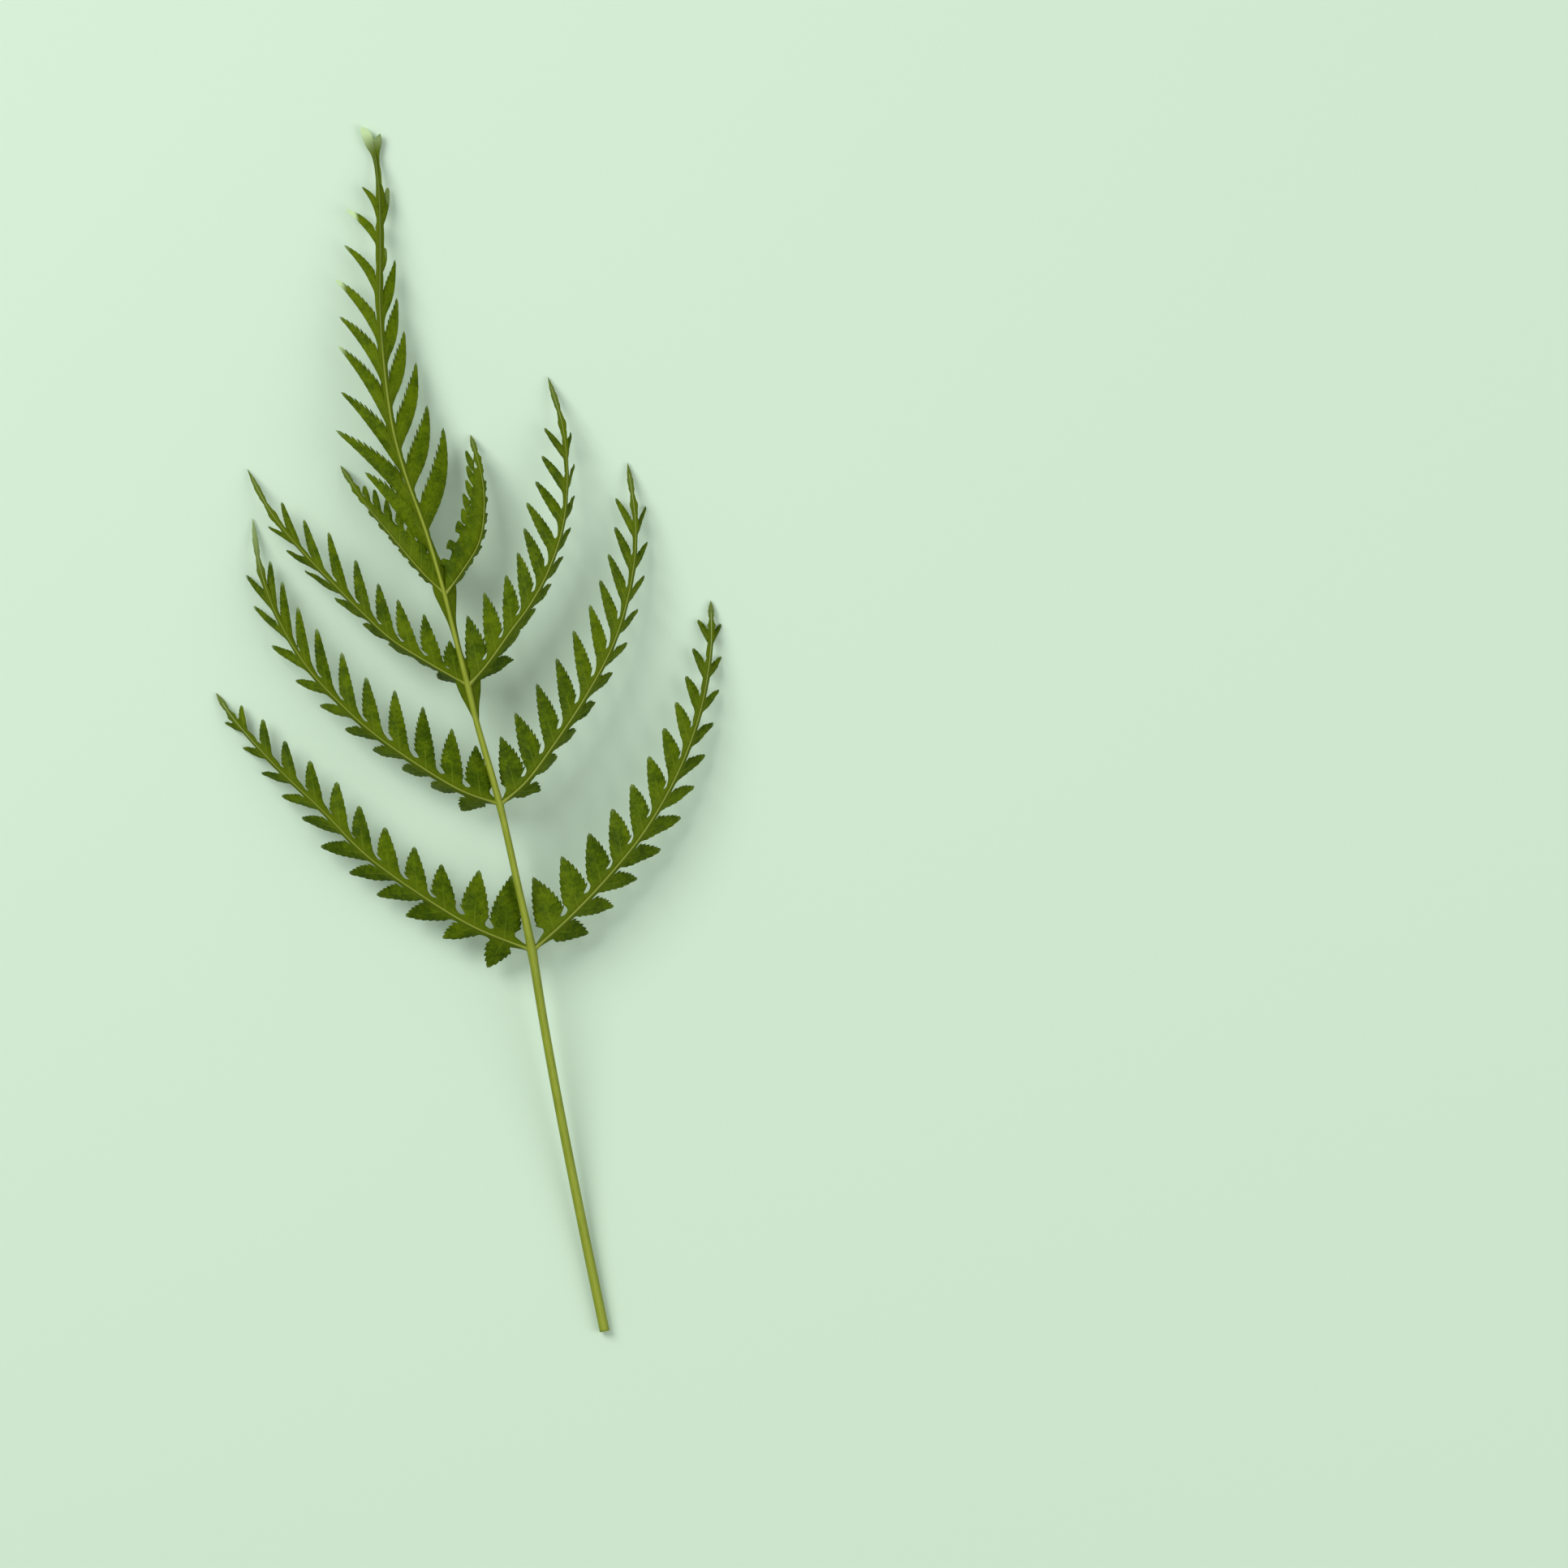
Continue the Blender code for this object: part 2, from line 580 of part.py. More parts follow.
def face_outward(obj):
    """Turn every face of a closed mesh outward and split it into triangles."""
    bm = bmesh.new()
    bm.from_mesh(obj.data)
    bmesh.ops.triangulate(bm, faces=bm.faces[:])
    bmesh.ops.recalc_face_normals(bm, faces=bm.faces[:])
    if bm.calc_volume(signed=True) < 0.0:
        bmesh.ops.reverse_faces(bm, faces=bm.faces[:])
    bm.to_mesh(obj.data)
    bm.free()


def frond_material():
    """Semi-glossy deep green leaf."""
    material = bpy.data.materials.new("fern leaf green")
    material.use_nodes = True
    shader = material.node_tree.nodes["Principled BSDF"]
    shader.inputs["Base Color"].default_value = (0.060, 0.115, 0.008, 1.0)
    shader.inputs["Roughness"].default_value = 0.42
    shader.inputs["Metallic"].default_value = 0.0
    return material


def fused(base, others):
    """Fuse the blades to the stalk as one closed body and drop the loose ones."""
    group = bpy.data.collections.new("blades")
    bpy.context.scene.collection.children.link(group)
    for obj in others:
        group.objects.link(obj)
    union = base.modifiers.new("union", "BOOLEAN")
    union.operation = "UNION"
    union.operand_type = "COLLECTION"
    union.collection = group
    union.solver = "MANIFOLD"
    graph = bpy.context.evaluated_depsgraph_get()
    mesh = bpy.data.meshes.new_from_object(base.evaluated_get(graph))
    base.modifiers.clear()
    base.data = mesh
    for obj in others:
        bpy.data.objects.remove(obj)
    bpy.data.collections.remove(group)


def seat(obj):
    """Put the middle of the box at x = y = 0 and the lowest point at z = 0."""
    mesh = obj.data
    flat = np.empty(len(mesh.vertices) * 3)
    mesh.vertices.foreach_get("co", flat)
    points = flat.reshape(-1, 3)
    low = points.min(axis=0)
    high = points.max(axis=0)
    points -= np.array([(low[0] + high[0]) / 2.0, (low[1] + high[1]) / 2.0, low[2]])
    mesh.vertices.foreach_set("co", points.ravel())
    mesh.update()


def build():
    """Clear the scene and build the frond."""
    for obj in list(bpy.data.objects):
        bpy.data.objects.remove(obj)
    rng = random.Random(SEED)
    stalk = main_stalk()
    bpy.context.scene.collection.objects.link(stalk)
    blades = [solid_from_sheet("upper", upper_frond())]
    for spec in BRANCHES:
        blades.append(solid_from_sheet(spec["name"], side_branch(spec, rng)))
    for obj in [stalk, *blades]:
        face_outward(obj)
    fused(stalk, blades)
    face_outward(stalk)
    seat(stalk)
    stalk.name = "fern_frond"
    stalk.data.name = "fern_frond"
    stalk.data.materials.clear()
    stalk.data.materials.append(frond_material())


build()
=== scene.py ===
import math
import random

import bmesh
import bpy
import numpy as np
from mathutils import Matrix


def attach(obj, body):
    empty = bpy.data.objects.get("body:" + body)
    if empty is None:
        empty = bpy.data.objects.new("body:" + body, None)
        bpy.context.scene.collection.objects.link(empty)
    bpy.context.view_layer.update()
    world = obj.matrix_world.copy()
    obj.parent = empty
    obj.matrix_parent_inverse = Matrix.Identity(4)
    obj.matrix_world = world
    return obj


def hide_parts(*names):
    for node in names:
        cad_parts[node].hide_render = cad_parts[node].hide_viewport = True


# Fern frond, picked and laid down. The blades, stalk and ribs are worked out in
# millimetres from the cut end of the stalk, with +Y to the tip, then moved onto the frame.

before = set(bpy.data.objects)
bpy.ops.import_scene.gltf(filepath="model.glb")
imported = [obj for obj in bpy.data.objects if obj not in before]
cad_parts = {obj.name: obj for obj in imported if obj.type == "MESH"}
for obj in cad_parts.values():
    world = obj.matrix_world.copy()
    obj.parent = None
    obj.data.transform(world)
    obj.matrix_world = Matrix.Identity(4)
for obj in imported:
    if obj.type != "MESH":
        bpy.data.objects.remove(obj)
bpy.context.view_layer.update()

mm = 0.001
frondShift = np.array([1.4070, -166.5313, -0.0812])
surface = {"gap": 0.36, "softness": 0.35}
# points nearer than this become one, and faces smaller than this are dropped, in metres
clean = {"merge": 2e-6, "flat": 1e-13}

# the frond's own numbers

# main stalk: x, y, height, radius
stalkLine = (
    (0.0, 0.0, 1.40, 1.35),
    (-0.4, 30.0, 3.0, 1.30),
    (-0.5, 60.0, 6.2, 1.25),
    (-0.2, 85.0, 9.4, 1.20),
    (0.4, 105.5, 12.0, 1.22),
    (0.1, 122.0, 14.0, 0.98),
    (-0.6, 146.0, 16.2, 0.95),
    (-2.4, 168.0, 17.4, 0.82),
    (-3.0, 180.0, 17.7, 0.82),
    (-3.9, 195.0, 17.7, 0.68),
    (-4.5, 206.0, 17.3, 0.66),
    (-6.1, 222.0, 16.2, 0.60),
    (-8.6, 238.0, 14.8, 0.56),
    (-9.6, 252.0, 13.2, 0.52),
    (-8.7, 268.0, 11.2, 0.48),
    (-6.8, 284.0, 9.0, 0.46),
    (-3.6, 300.0, 6.6, 0.44),
    (-1.2, 314.0, 4.4, 0.40),
    (-0.4, 322.0, 2.8, 0.30),
    (-0.1, 326.5, 1.7, 0.16),
)

# Side branches. path is the rib seen from above, height the height it leaves the stalk at,
# arch how far its middle is lifted, root and pitch the place of the first pair and the
# distance to the next, and grow how much wider apart the last ones are. The inner side is the
# one nearer the frond's tip; inner and outer are the number, length and angle of a few
# leaflets, with the ones between filled in evenly. hang is how far below level each side
# hangs, edge the width of the blade along the rib and how much of it is lost, lean how far
# its notches lie forward, broad the leaflets' half width and how much of it is lost, bent how
# far the outer points turn down, and bend how far the lobes turn forward.
sideBranches = (
    {
        "name": "lowerLeft",
        "path": (
            (0.6, 105.0), (-13.8, 114.4), (-27.0, 126.4), (-39.0, 139.4),
            (-48.0, 153.0), (-58.0, 167.0), (-66.5, 181.0), (-70.5, 190.0),
        ),
        "height": 12.0, "arch": 3.2, "root": 8.2, "pitch": 8.9, "pairs": 11, "grow": 0.06,
        "inner": (
            (0, 18.0, 73.0), (1, 15.6, 66.0), (2, 12.6, 51.0), (3, 12.6, 50.0),
            (6, 13.2, 37.0), (9, 10.6, 35.0), (10, 7.6, 33.0),
        ),
        "outer": (
            (0, 11.6, 79.0), (1, 11.0, 52.0), (2, 12.6, 46.0), (5, 13.6, 42.0),
            (7, 11.4, 40.0), (10, 7.0, 36.0),
        ),
        "hang": (6.0, 36.0, 50.0), "rib": 0.85, "edge": (2.0, 1.8, 0.35), "lean": 0.45,
        "broad": (0.43, 0.58), "pale": 0.10,
    },
    {
        "name": "lowerRight",
        "path": (
            (0.6, 105.0), (12.0, 111.9), (24.5, 120.8), (37.0, 131.5),
            (48.5, 145.0), (57.5, 160.0), (63.5, 176.0), (66.0, 189.0),
        ),
        "height": 12.0, "arch": 3.2, "root": 8.0, "pitch": 8.9, "pairs": 11, "grow": 0.06,
        "inner": ((0, 16.2, 68.0), (2, 14.8, 54.0), (6, 13.5, 40.0), (10, 7.6, 33.0)),
        "outer": ((0, 11.6, 54.0), (4, 13.0, 44.0), (10, 7.0, 36.0)),
        "hang": (10.0, 44.0, 50.0), "rib": 0.85, "edge": (2.0, 1.8, 0.35), "lean": 0.45,
        "broad": (0.43, 0.58), "pale": 0.10,
    },
    {
        "name": "secondLeft",
        "path": (
            (-0.4, 145.5), (-12.0, 152.8), (-28.4, 168.7), (-38.5, 181.8),
            (-45.5, 193.8), (-50.2, 207.5), (-52.2, 221.0), (-51.7, 234.6),
        ),
        "height": 16.2, "arch": 2.2, "root": 5.6, "pitch": 8.2, "pairs": 10, "grow": 0.15,
        "inner": (
            (0, 14.5, 64.0), (2, 17.4, 52.0), (3, 17.6, 48.0), (4, 15.8, 41.0),
            (6, 18.0, 32.0), (8, 15.8, 22.0), (9, 13.3, 18.0),
        ),
        "outer": (
            (0, 11.0, 66.0), (3, 11.5, 52.0), (6, 12.0, 44.0), (8, 14.0, 27.0), (9, 12.5, 24.0),
        ),
        "hang": (8.0, 60.0, 42.0), "rib": 0.75, "edge": (2.1, 2.6, 0.58), "lean": 0.45,
        "broad": (0.37, 0.70), "bent": 0.22, "pale": 0.35,
    },
    {
        "name": "secondRight",
        "path": (
            (-0.4, 145.5), (7.8, 150.4), (16.2, 158.0), (27.6, 169.6),
            (38.0, 182.6), (45.4, 197.0), (49.8, 212.0), (51.0, 230.0),
        ),
        "height": 16.2, "arch": 2.2, "root": 5.6, "pitch": 8.2, "pairs": 10, "grow": 0.15,
        "inner": ((0, 16.2, 63.0), (2, 17.8, 50.0), (5, 17.0, 40.0), (9, 12.0, 28.0)),
        "outer": ((0, 10.5, 58.0), (4, 11.5, 46.0), (9, 9.5, 30.0)),
        "hang": (12.0, 60.0, 52.0), "rib": 0.75, "edge": (2.1, 2.6, 0.58), "lean": 0.45,
        "broad": (0.37, 0.70), "bent": 0.22, "pale": 0.05,
    },
    {
        "name": "thirdLeft",
        "path": (
            (-2.7, 178.7), (-12.3, 187.0), (-20.5, 194.7), (-26.3, 202.4),
            (-32.6, 211.6), (-40.0, 223.0), (-46.4, 235.0), (-50.6, 248.0),
        ),
        "height": 17.7, "arch": 2.0, "root": 3.4, "pitch": 6.9, "pairs": 8, "grow": 0.50,
        "inner": (
            (0, 11.0, 46.0), (1, 15.0, 45.0), (3, 15.0, 38.0), (5, 17.6, 29.0), (7, 13.2, 20.0),
        ),
        "outer": ((0, 9.5, 56.0), (3, 11.0, 42.0), (5, 15.0, 32.0), (7, 10.5, 26.0)),
        "hang": (6.0, 71.0, 50.0), "rib": 0.68, "edge": (2.0, 2.9, 0.58), "lean": 0.45,
        "broad": (0.34, 0.71), "bent": 0.22, "pale": 0.05,
    },
    {
        "name": "thirdRight",
        "path": (
            (-2.7, 178.7), (3.5, 183.6), (11.5, 191.2), (18.0, 197.3), (24.6, 205.5),
            (30.6, 216.5), (34.4, 230.0), (35.6, 243.0), (34.2, 257.0),
        ),
        "height": 17.7, "arch": 2.0, "root": 4.4, "pitch": 7.4, "pairs": 9, "grow": 0.25,
        "inner": (
            (0, 16.6, 51.0), (1, 16.8, 45.0), (2, 14.8, 41.0), (5, 15.8, 48.0), (8, 10.5, 32.0),
        ),
        "outer": ((0, 12.9, 44.0), (2, 11.5, 42.0), (8, 8.5, 32.0)),
        "hang": (10.0, 58.0, 66.0), "rib": 0.68, "edge": (2.0, 2.9, 0.58), "lean": 0.45,
        "broad": (0.36, 0.68), "bent": 0.22, "pale": 0.05,
    },
    {
        "name": "fourthLeft",
        "path": (
            (-4.3, 204.3), (-9.6, 212.0), (-15.5, 222.6), (-21.0, 233.0), (-25.6, 244.0),
        ),
        "height": 17.3, "arch": 1.2, "root": 4.6, "pitch": 4.4, "pairs": 7, "grow": 0.1,
        "inner": ((0, 9.0, 42.0), (3, 10.6, 34.0), (5, 9.0, 28.0), (6, 6.4, 24.0)),
        "outer": ((0, 5.5, 38.0), (6, 4.2, 30.0)),
        "hang": (8.0, 70.0, 64.0), "rib": 0.55, "edge": (5.9, 2.6, 0.50), "lean": 0.8,
        "innerEdges": (5.9, 6.0, 5.6, 4.9, 3.8, 2.9, 1.9),
        "broad": (0.28, 0.42), "pale": 0.05, "saw": (0.0, 0.30), "sinus": 0.95, "bend": -14.0,
    },
    {
        "name": "fourthRight",
        "path": (
            (-4.0, 204.3), (1.6, 209.6), (7.4, 216.2), (10.4, 224.6),
            (11.5, 234.0), (10.6, 245.5),
        ),
        "height": 17.3, "arch": 1.2, "root": 3.6, "pitch": 4.3, "pairs": 8, "grow": 0.1,
        "inner": ((0, 7.4, 58.0), (2, 10.6, 50.0), (4, 10.8, 35.0), (7, 9.6, 18.0)),
        "outer": ((0, 5.5, 38.0), (7, 4.2, 30.0)),
        "hang": (8.0, 72.0, 68.0), "rib": 0.55, "edge": (6.2, 2.6, 0.35), "lean": 0.8,
        "innerEdges": (6.2, 7.5, 8.2, 7.2, 6.0, 4.9, 3.7, 2.7),
        "broad": (0.28, 0.42), "pale": 0.05, "saw": (0.0, 0.30), "sinus": 0.95, "bend": -34.0,
    },
)

# upper frond: root along the stalk, length and angle of each single lobe
upperFrond = {
    "left": (
        (219.5, 25.5, 20.0), (230.8, 29.0, 22.0), (242.2, 25.0, 19.0), (253.6, 25.0, 20.0),
        (265.6, 20.5, 26.0), (275.6, 20.7, 28.0), (287.8, 16.5, 31.0), (300.6, 13.5, 38.0),
        (307.6, 10.1, 23.0),
    ),
    "right": (
        (225.2, 27.5, 54.5), (236.6, 22.5, 55.0), (247.9, 23.0, 50.0), (259.4, 19.5, 42.0),
        (270.6, 17.0, 39.0), (282.0, 16.0, 38.0), (294.2, 6.0, 32.0), (306.2, 10.4, 33.0),
    ),
    "hang": (6.0, 30.0),
    "droop": 0.05,
    # the left lobes bend more and more towards the tip, the right ones bend forward
    "curl": ((12.0, 40.0), (-34.0, -18.0)),
    "blunt": ((0.3, 0.3, 0.3, 0.4, 0.4, 0.6, 0.5, 0.9, 0.5),
              (0.2, 0.2, 0.2, 0.2, 0.2, 0.1, 0.8, 1.0)),
    # width of the edge above the last lobe, left and right, at its start, middle and end
    "above": ((1.30, 1.0, 0.80), (1.55, 1.75, 0.75)),
    "broad": ((2.4, 1.4), (2.9, 1.7)),
    "lean": 0.45,
    # distance between lobes, and how much of it is lost towards the tip
    "reach": (11.5, 0.25),
    "saw": (0.12, 1.0),
    "sinus": 0.85,
    "shade": (0.15, 0.5),
    # width of the edge between the lobes: at the first one, and how much it gains
    "edge": (1.0, 0.45),
    "before": 5.5,
    "beforeEdge": 0.9,
    "rightEdge": 0.5,
    "pitchLess": 0.25,
    "teethLess": (0.35, 0.95),
    # the strip below the lobes starts this far ahead of its first place, this wide
    "taper": (1.5, 0.2),
    "overlap": 0.3,
    "belowRows": 90,
    "aboveRows": 12,
    "stripColumns": 5,
    # values of plain strips without veins
    "plain": {"acrossMm": 1.0, "alongMm": 9.0, "ribMm": 1.0},
    # how pale each lobe's point is, and the share of its length where that starts
    "points": (
        ((0.1, 0.95), (0.3, 0.93), (0.1, 0.95), (0.7, 0.88), (0.15, 0.92),
         (0.95, 0.82), (0.3, 0.88), (1.0, 0.70), (0.1, 0.9)),
        ((0.05, 0.90),) * 6 + ((0.1, 0.60), (0.16, 0.55)),
    ),
    # narrow green edges below the lobes: place along the stalk and width
    "edges": (
        (168.0, 0.5), (172.0, 1.5), (175.6, 2.7), (179.5, 3.2), (184.5, 1.1),
        (191.5, 0.75), (196.0, 1.1), (200.0, 2.1), (204.0, 3.0), (208.0, 2.5), (212.5, 1.3),
    ),
    "last": 317.0,
    "neckFall": 0.28,
    "neckLength": 8.2,
    "tipRise": 0.25,
    "tipFall": 0.04,
    # the two halves of the forked tip, each as its outer and its inner line
    "fork": (
        (((-1.56, 316.6), (-1.24, 320.0), (-1.14, 322.3), (-1.36, 325.0), (-2.30, 327.6),
          (-2.85, 330.4), (-2.85, 332.2), (-2.50, 333.1)),
         ((-0.68, 316.6), (-0.40, 320.0), (-0.36, 322.3), (-0.24, 325.2), (0.13, 328.8),
          (-0.10, 330.6), (-1.20, 332.3), (-2.50, 333.1))),
        (((0.02, 316.6), (0.44, 320.0), (0.46, 322.3), (0.95, 325.0), (1.70, 326.8),
          (2.26, 328.3), (2.30, 329.6), (2.13, 330.3)),
         ((-0.68, 316.6), (-0.40, 320.0), (-0.36, 322.3), (-0.24, 325.2), (-0.05, 327.2),
          (0.13, 328.8), (0.90, 329.6), (2.13, 330.3))),
    ),
    "forkPale": (1.0, 0.30),
    "forkPaleFrom": (3.0, 5.6),
    "forkRows": 85,
    "forkColumns": 9,
}

leafletForm = {
    "thick": 0.24,
    # shares of the half width, from the middle to the margin
    "columns": (0.0, 0.06, 0.16, 0.32, 0.50, 0.66, 0.80, 0.90, 1.0),
    # rows from the rib over the sinus to the notch, those of one tooth, and the last ones
    "rows": (-0.30, -0.22, -0.14, -0.07, 0.0),
    "toothRows": (0.0, 0.3, 0.6, 0.86, 0.94),
    "lastRows": (0.98, 1.0),
    # where the teeth start and how much of the length they take
    "toothSpan": (0.05, 0.92),
    "toothShare": 0.9,
    "leastTeeth": 2,
    "toothTop": 0.86,
    "toothBack": 0.7,
    # the teeth grow to full depth over the first shares, and lose this much over the second
    "toothGrow": (-0.02, 0.12),
    "toothShrink": (0.55, 1.0),
    "toothLoss": 0.6,
    # half width at these shares of the length, for a pointed and a blunt leaflet
    "places": (0.15, 0.30, 0.50, 0.70, 0.85, 0.95, 1.0),
    "pointed": (1.0, 0.96, 0.79, 0.53, 0.28, 0.11, 0.0),
    "blunt": (1.0, 0.98, 0.90, 0.74, 0.54, 0.36, 0.0),
    "toothPitch": 1.65,
    "toothDepth": 0.85,
    "toothForward": 0.75,
    "toothLimit": 0.55,
    "toothFrom": 0.6,
    "lobePitch": 2.3,
    "lobeDepth": 1.25,
    "slant": 0.9,
    "veinRidge": 0.06,
    "veinWidth": 0.17,
    "veinLoss": 0.6,
    "waves": 0.02,
    "wavesFrom": (0.15, 0.8),
    "fold": 0.04,
    "settle": (0.1, 0.9),
    # waves of the ripple along the leaflet, and from its middle to its margin
    "rippleWaves": (1.6, 0.2),
    "paleSpan": (-0.04, 0.10),
    "roll": (-0.10, 0.10),
    "ripple": (0.08, 0.22),
    "shade": (-0.3, 0.3),
    "sinus": 0.74,
    "leave": 0.36,
    "notch": 0.35,
}


# lines and grids

def unit(v):
    # every vector divided by its own length
    return v / np.maximum(np.linalg.norm(v, axis=-1, keepdims=True), 1e-9)


def smoothPath(points, count):
    # Catmull-Rom curve through the points, then even steps by its length seen from above
    pts = np.array(points, float)
    pad = np.vstack([2 * pts[0] - pts[1], pts, 2 * pts[-1] - pts[-2]])
    t = np.linspace(0, 1, 24, endpoint=False)[None, :, None]
    p0, p1, p2, p3 = (pad[k:k + len(pts) - 1, None, :] for k in range(4))
    bend = 2 * p1 + (p2 - p0) * t + (2 * p0 - 5 * p1 + 4 * p2 - p3) * t**2
    fine = 0.5 * (bend + (3 * p1 - p0 - 3 * p2 + p3) * t**3)
    fine = np.vstack([fine.reshape(-1, pts.shape[1]), pts[-1:]])
    run = np.concatenate([[0], np.cumsum(np.linalg.norm(np.diff(fine[:, :2], axis=0), axis=1))])
    want = np.linspace(0, run[-1], count)
    return np.stack([np.interp(want, run, c) for c in fine.T], axis=1), run[-1]


def curveThrough(knots, values, wanted):
    # cubic between the knots, each knot's slope taken from its two neighbours
    knots = np.asarray(knots, float)
    slopes = np.gradient(values, knots, axis=0)
    i = np.clip(np.searchsorted(knots, wanted, side="right") - 1, 0, len(knots) - 2)
    step = knots[i + 1] - knots[i]
    s = (wanted - knots[i]) / step
    if values.ndim > 1:
        s, step = s[:, None], step[:, None]
    near = (2 * s**3 - 3 * s**2 + 1) * values[i] + (s**3 - 2 * s**2 + s) * step * slopes[i]
    far = (3 * s**2 - 2 * s**3) * values[i + 1] + (s**3 - s**2) * step * slopes[i + 1]
    return near + far


def onSurface(points):
    # height bent smoothly to the surface: gap + softness * log(1 + e^((z - gap) / softness))
    x = (points[..., 2] - surface["gap"]) / surface["softness"]
    bent = surface["gap"] + surface["softness"] * np.logaddexp(0, x)
    return np.concatenate([points[..., :2], bent[..., None]], axis=-1)


def smoothStep(low, high, x):
    # 0 below low, 1 above high, 3s^2 - 2s^3 between
    s = np.clip((x - low) / (high - low), 0, 1)
    return s * s * (3 - 2 * s)


class Rib:
    # centre line of a rib or stalk, read at any distance from its root
    def __init__(self, points, run, lean):
        self.points, self.run, self.lean = points, run, lean
        self.slopes = np.gradient(points, run, axis=0)

    def at(self, d):
        # place, in straight steps between the points
        return np.stack([np.interp(d, self.run, c) for c in self.points.T], axis=-1)

    def along(self, d):
        # direction towards the tip, of length 1
        return unit(np.stack([np.interp(d, self.run, c) for c in self.slopes.T], axis=-1))

    def left(self, d):
        # up x along, so level and square to the direction
        return unit(np.cross([0.0, 0.0, 1.0], self.along(d)))

    def out(self, d, sign, hang):
        # sideways by the hang, which goes from its first to its last value along the rib:
        # cos * sign * left - sin * up
        first, last, end = hang
        a = np.radians(first + (last - first) * np.clip(d / end, 0, 1))[..., None]
        return np.cos(a) * sign * self.left(d) - np.sin(a) * np.array([0.0, 0.0, 1.0])

    def edge(self, d, sign, hang, width):
        # point on the narrow blade along the rib, leaning forward
        lean = unit(self.lean * self.along(d) + self.out(d, sign, hang))
        return self.at(d) + lean * np.asarray(width)[..., None]


class Skin:
    # one piece's grids, gathered as points, four-sided faces and named values
    def __init__(self):
        self.points, self.faces, self.values, self.count = [], [], {}, 0

    def grid(self, points, flip, values, closed=False):
        # every four neighbours of the rows and columns are one face; a closed grid also
        # joins its last column to its first
        rows, cols = points.shape[:2]
        index = np.arange(rows * cols).reshape(rows, cols) + self.count
        if closed:
            index = np.concatenate([index, index[:, :1]], axis=1)
        quads = np.stack([index[:-1, :-1], index[:-1, 1:], index[1:, 1:], index[1:, :-1]], -1)
        quads = quads.reshape(-1, 4)
        self.faces.append(quads[:, ::-1] if flip else quads)
        self.points.append(points.reshape(-1, 3))
        for name in ("acrossMm", "alongMm", "ribMm", "palePoint", "paleGlint", "shade"):
            value = np.broadcast_to(values.get(name, 0.0), (rows, cols))
            self.values.setdefault(name, []).append(value.reshape(-1))
        self.count += rows * cols

    def piece(self, name, material, thick=0.0):
        # (points + shift) in metres as one mesh, with double points merged, on the root
        mesh = bpy.data.meshes.new(name)
        points = (np.concatenate(self.points) + frondShift) * mm
        mesh.from_pydata(points, [], np.concatenate(self.faces).tolist())
        for label, parts in self.values.items():
            layer = mesh.attributes.new(label, "FLOAT", "POINT")
            layer.data.foreach_set("value", np.concatenate(parts).astype(np.float32))
        bm = bmesh.new()
        bm.from_mesh(mesh)
        bmesh.ops.remove_doubles(bm, verts=bm.verts[:], dist=clean["merge"])
        flat = [f for f in bm.faces if f.calc_area() < clean["flat"]]
        bmesh.ops.delete(bm, geom=flat, context="FACES_ONLY")
        bm.to_mesh(mesh)
        bm.free()
        mesh.polygons.foreach_set("use_smooth", np.ones(len(mesh.polygons), bool))
        mesh.update()
        obj = bpy.data.objects.new(name, mesh)
        bpy.context.scene.collection.objects.link(obj)
        mesh.materials.append(material)
        if thick > 0:
            wall = obj.modifiers.new("thickness", "SOLIDIFY")
            wall.thickness = thick * mm
            wall.offset = 0.0
        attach(obj, "root")
        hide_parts("fern_frond")
        return obj


# shader maths

class Shade:
    # wraps a socket, so that sums on it add Math nodes
    def __init__(self, tree, socket=None):
        self.tree, self.socket = tree, socket

    def node(self, kind, settings=None, sockets=None, out=0):
        # new node, whose sockets take numbers or other wrapped sockets
        made = self.tree.nodes.new(kind)
        for key, value in (settings or {}).items():
            setattr(made, key, value)
        for key, value in (sockets or {}).items():
            if isinstance(value, Shade):
                self.tree.links.new(value.socket, made.inputs[key])
            else:
                made.inputs[key].default_value = value
        return Shade(self.tree, made.outputs[out])

    def maths(self, operation, *values):
        return self.node("ShaderNodeMath", {"operation": operation}, dict(enumerate(values)))

    def __add__(self, other):
        return self.maths("ADD", self, other)

    def __radd__(self, other):
        return self.maths("ADD", other, self)

    def __sub__(self, other):
        return self.maths("SUBTRACT", self, other)

    def __rsub__(self, other):
        return self.maths("SUBTRACT", other, self)

    def __mul__(self, other):
        return self.maths("MULTIPLY", self, other)

    def __rmul__(self, other):
        return self.maths("MULTIPLY", other, self)

    def __truediv__(self, other):
        return self.maths("DIVIDE", self, other)

    def step(self, low, high):
        # 0 at low, 1 at high, 3s^2 - 2s^3 between
        settings = {"interpolation_type": "SMOOTHSTEP"}
        sockets = {"Value": self, "From Min": low, "From Max": high}
        return self.node("ShaderNodeMapRange", settings, sockets)

    def mix(self, low, high):
        # low * (1 - self) + high * self, for colours
        settings = {"data_type": "RGBA"}
        return self.node("ShaderNodeMix", settings, {0: self, 6: low, 7: high}, out=2)

    def value(self, name):
        # one of the values that the grids carry
        return self.node("ShaderNodeAttribute", {"attribute_name": name}, out="Fac")

    def noise(self, place, scale, detail):
        sockets = {"Vector": place, "Scale": scale, "Detail": detail}
        return self.node("ShaderNodeTexNoise", {}, sockets)


def newMaterial(name, roughness, specular):
    # material, its shader, and its tree wrapped for sums
    material = bpy.data.materials.new(name)
    material.use_nodes = True
    shader = material.node_tree.nodes["Principled BSDF"]
    shader.inputs["Roughness"].default_value = roughness
    shader.inputs["Specular IOR Level"].default_value = specular
    return material, shader, Shade(material.node_tree)


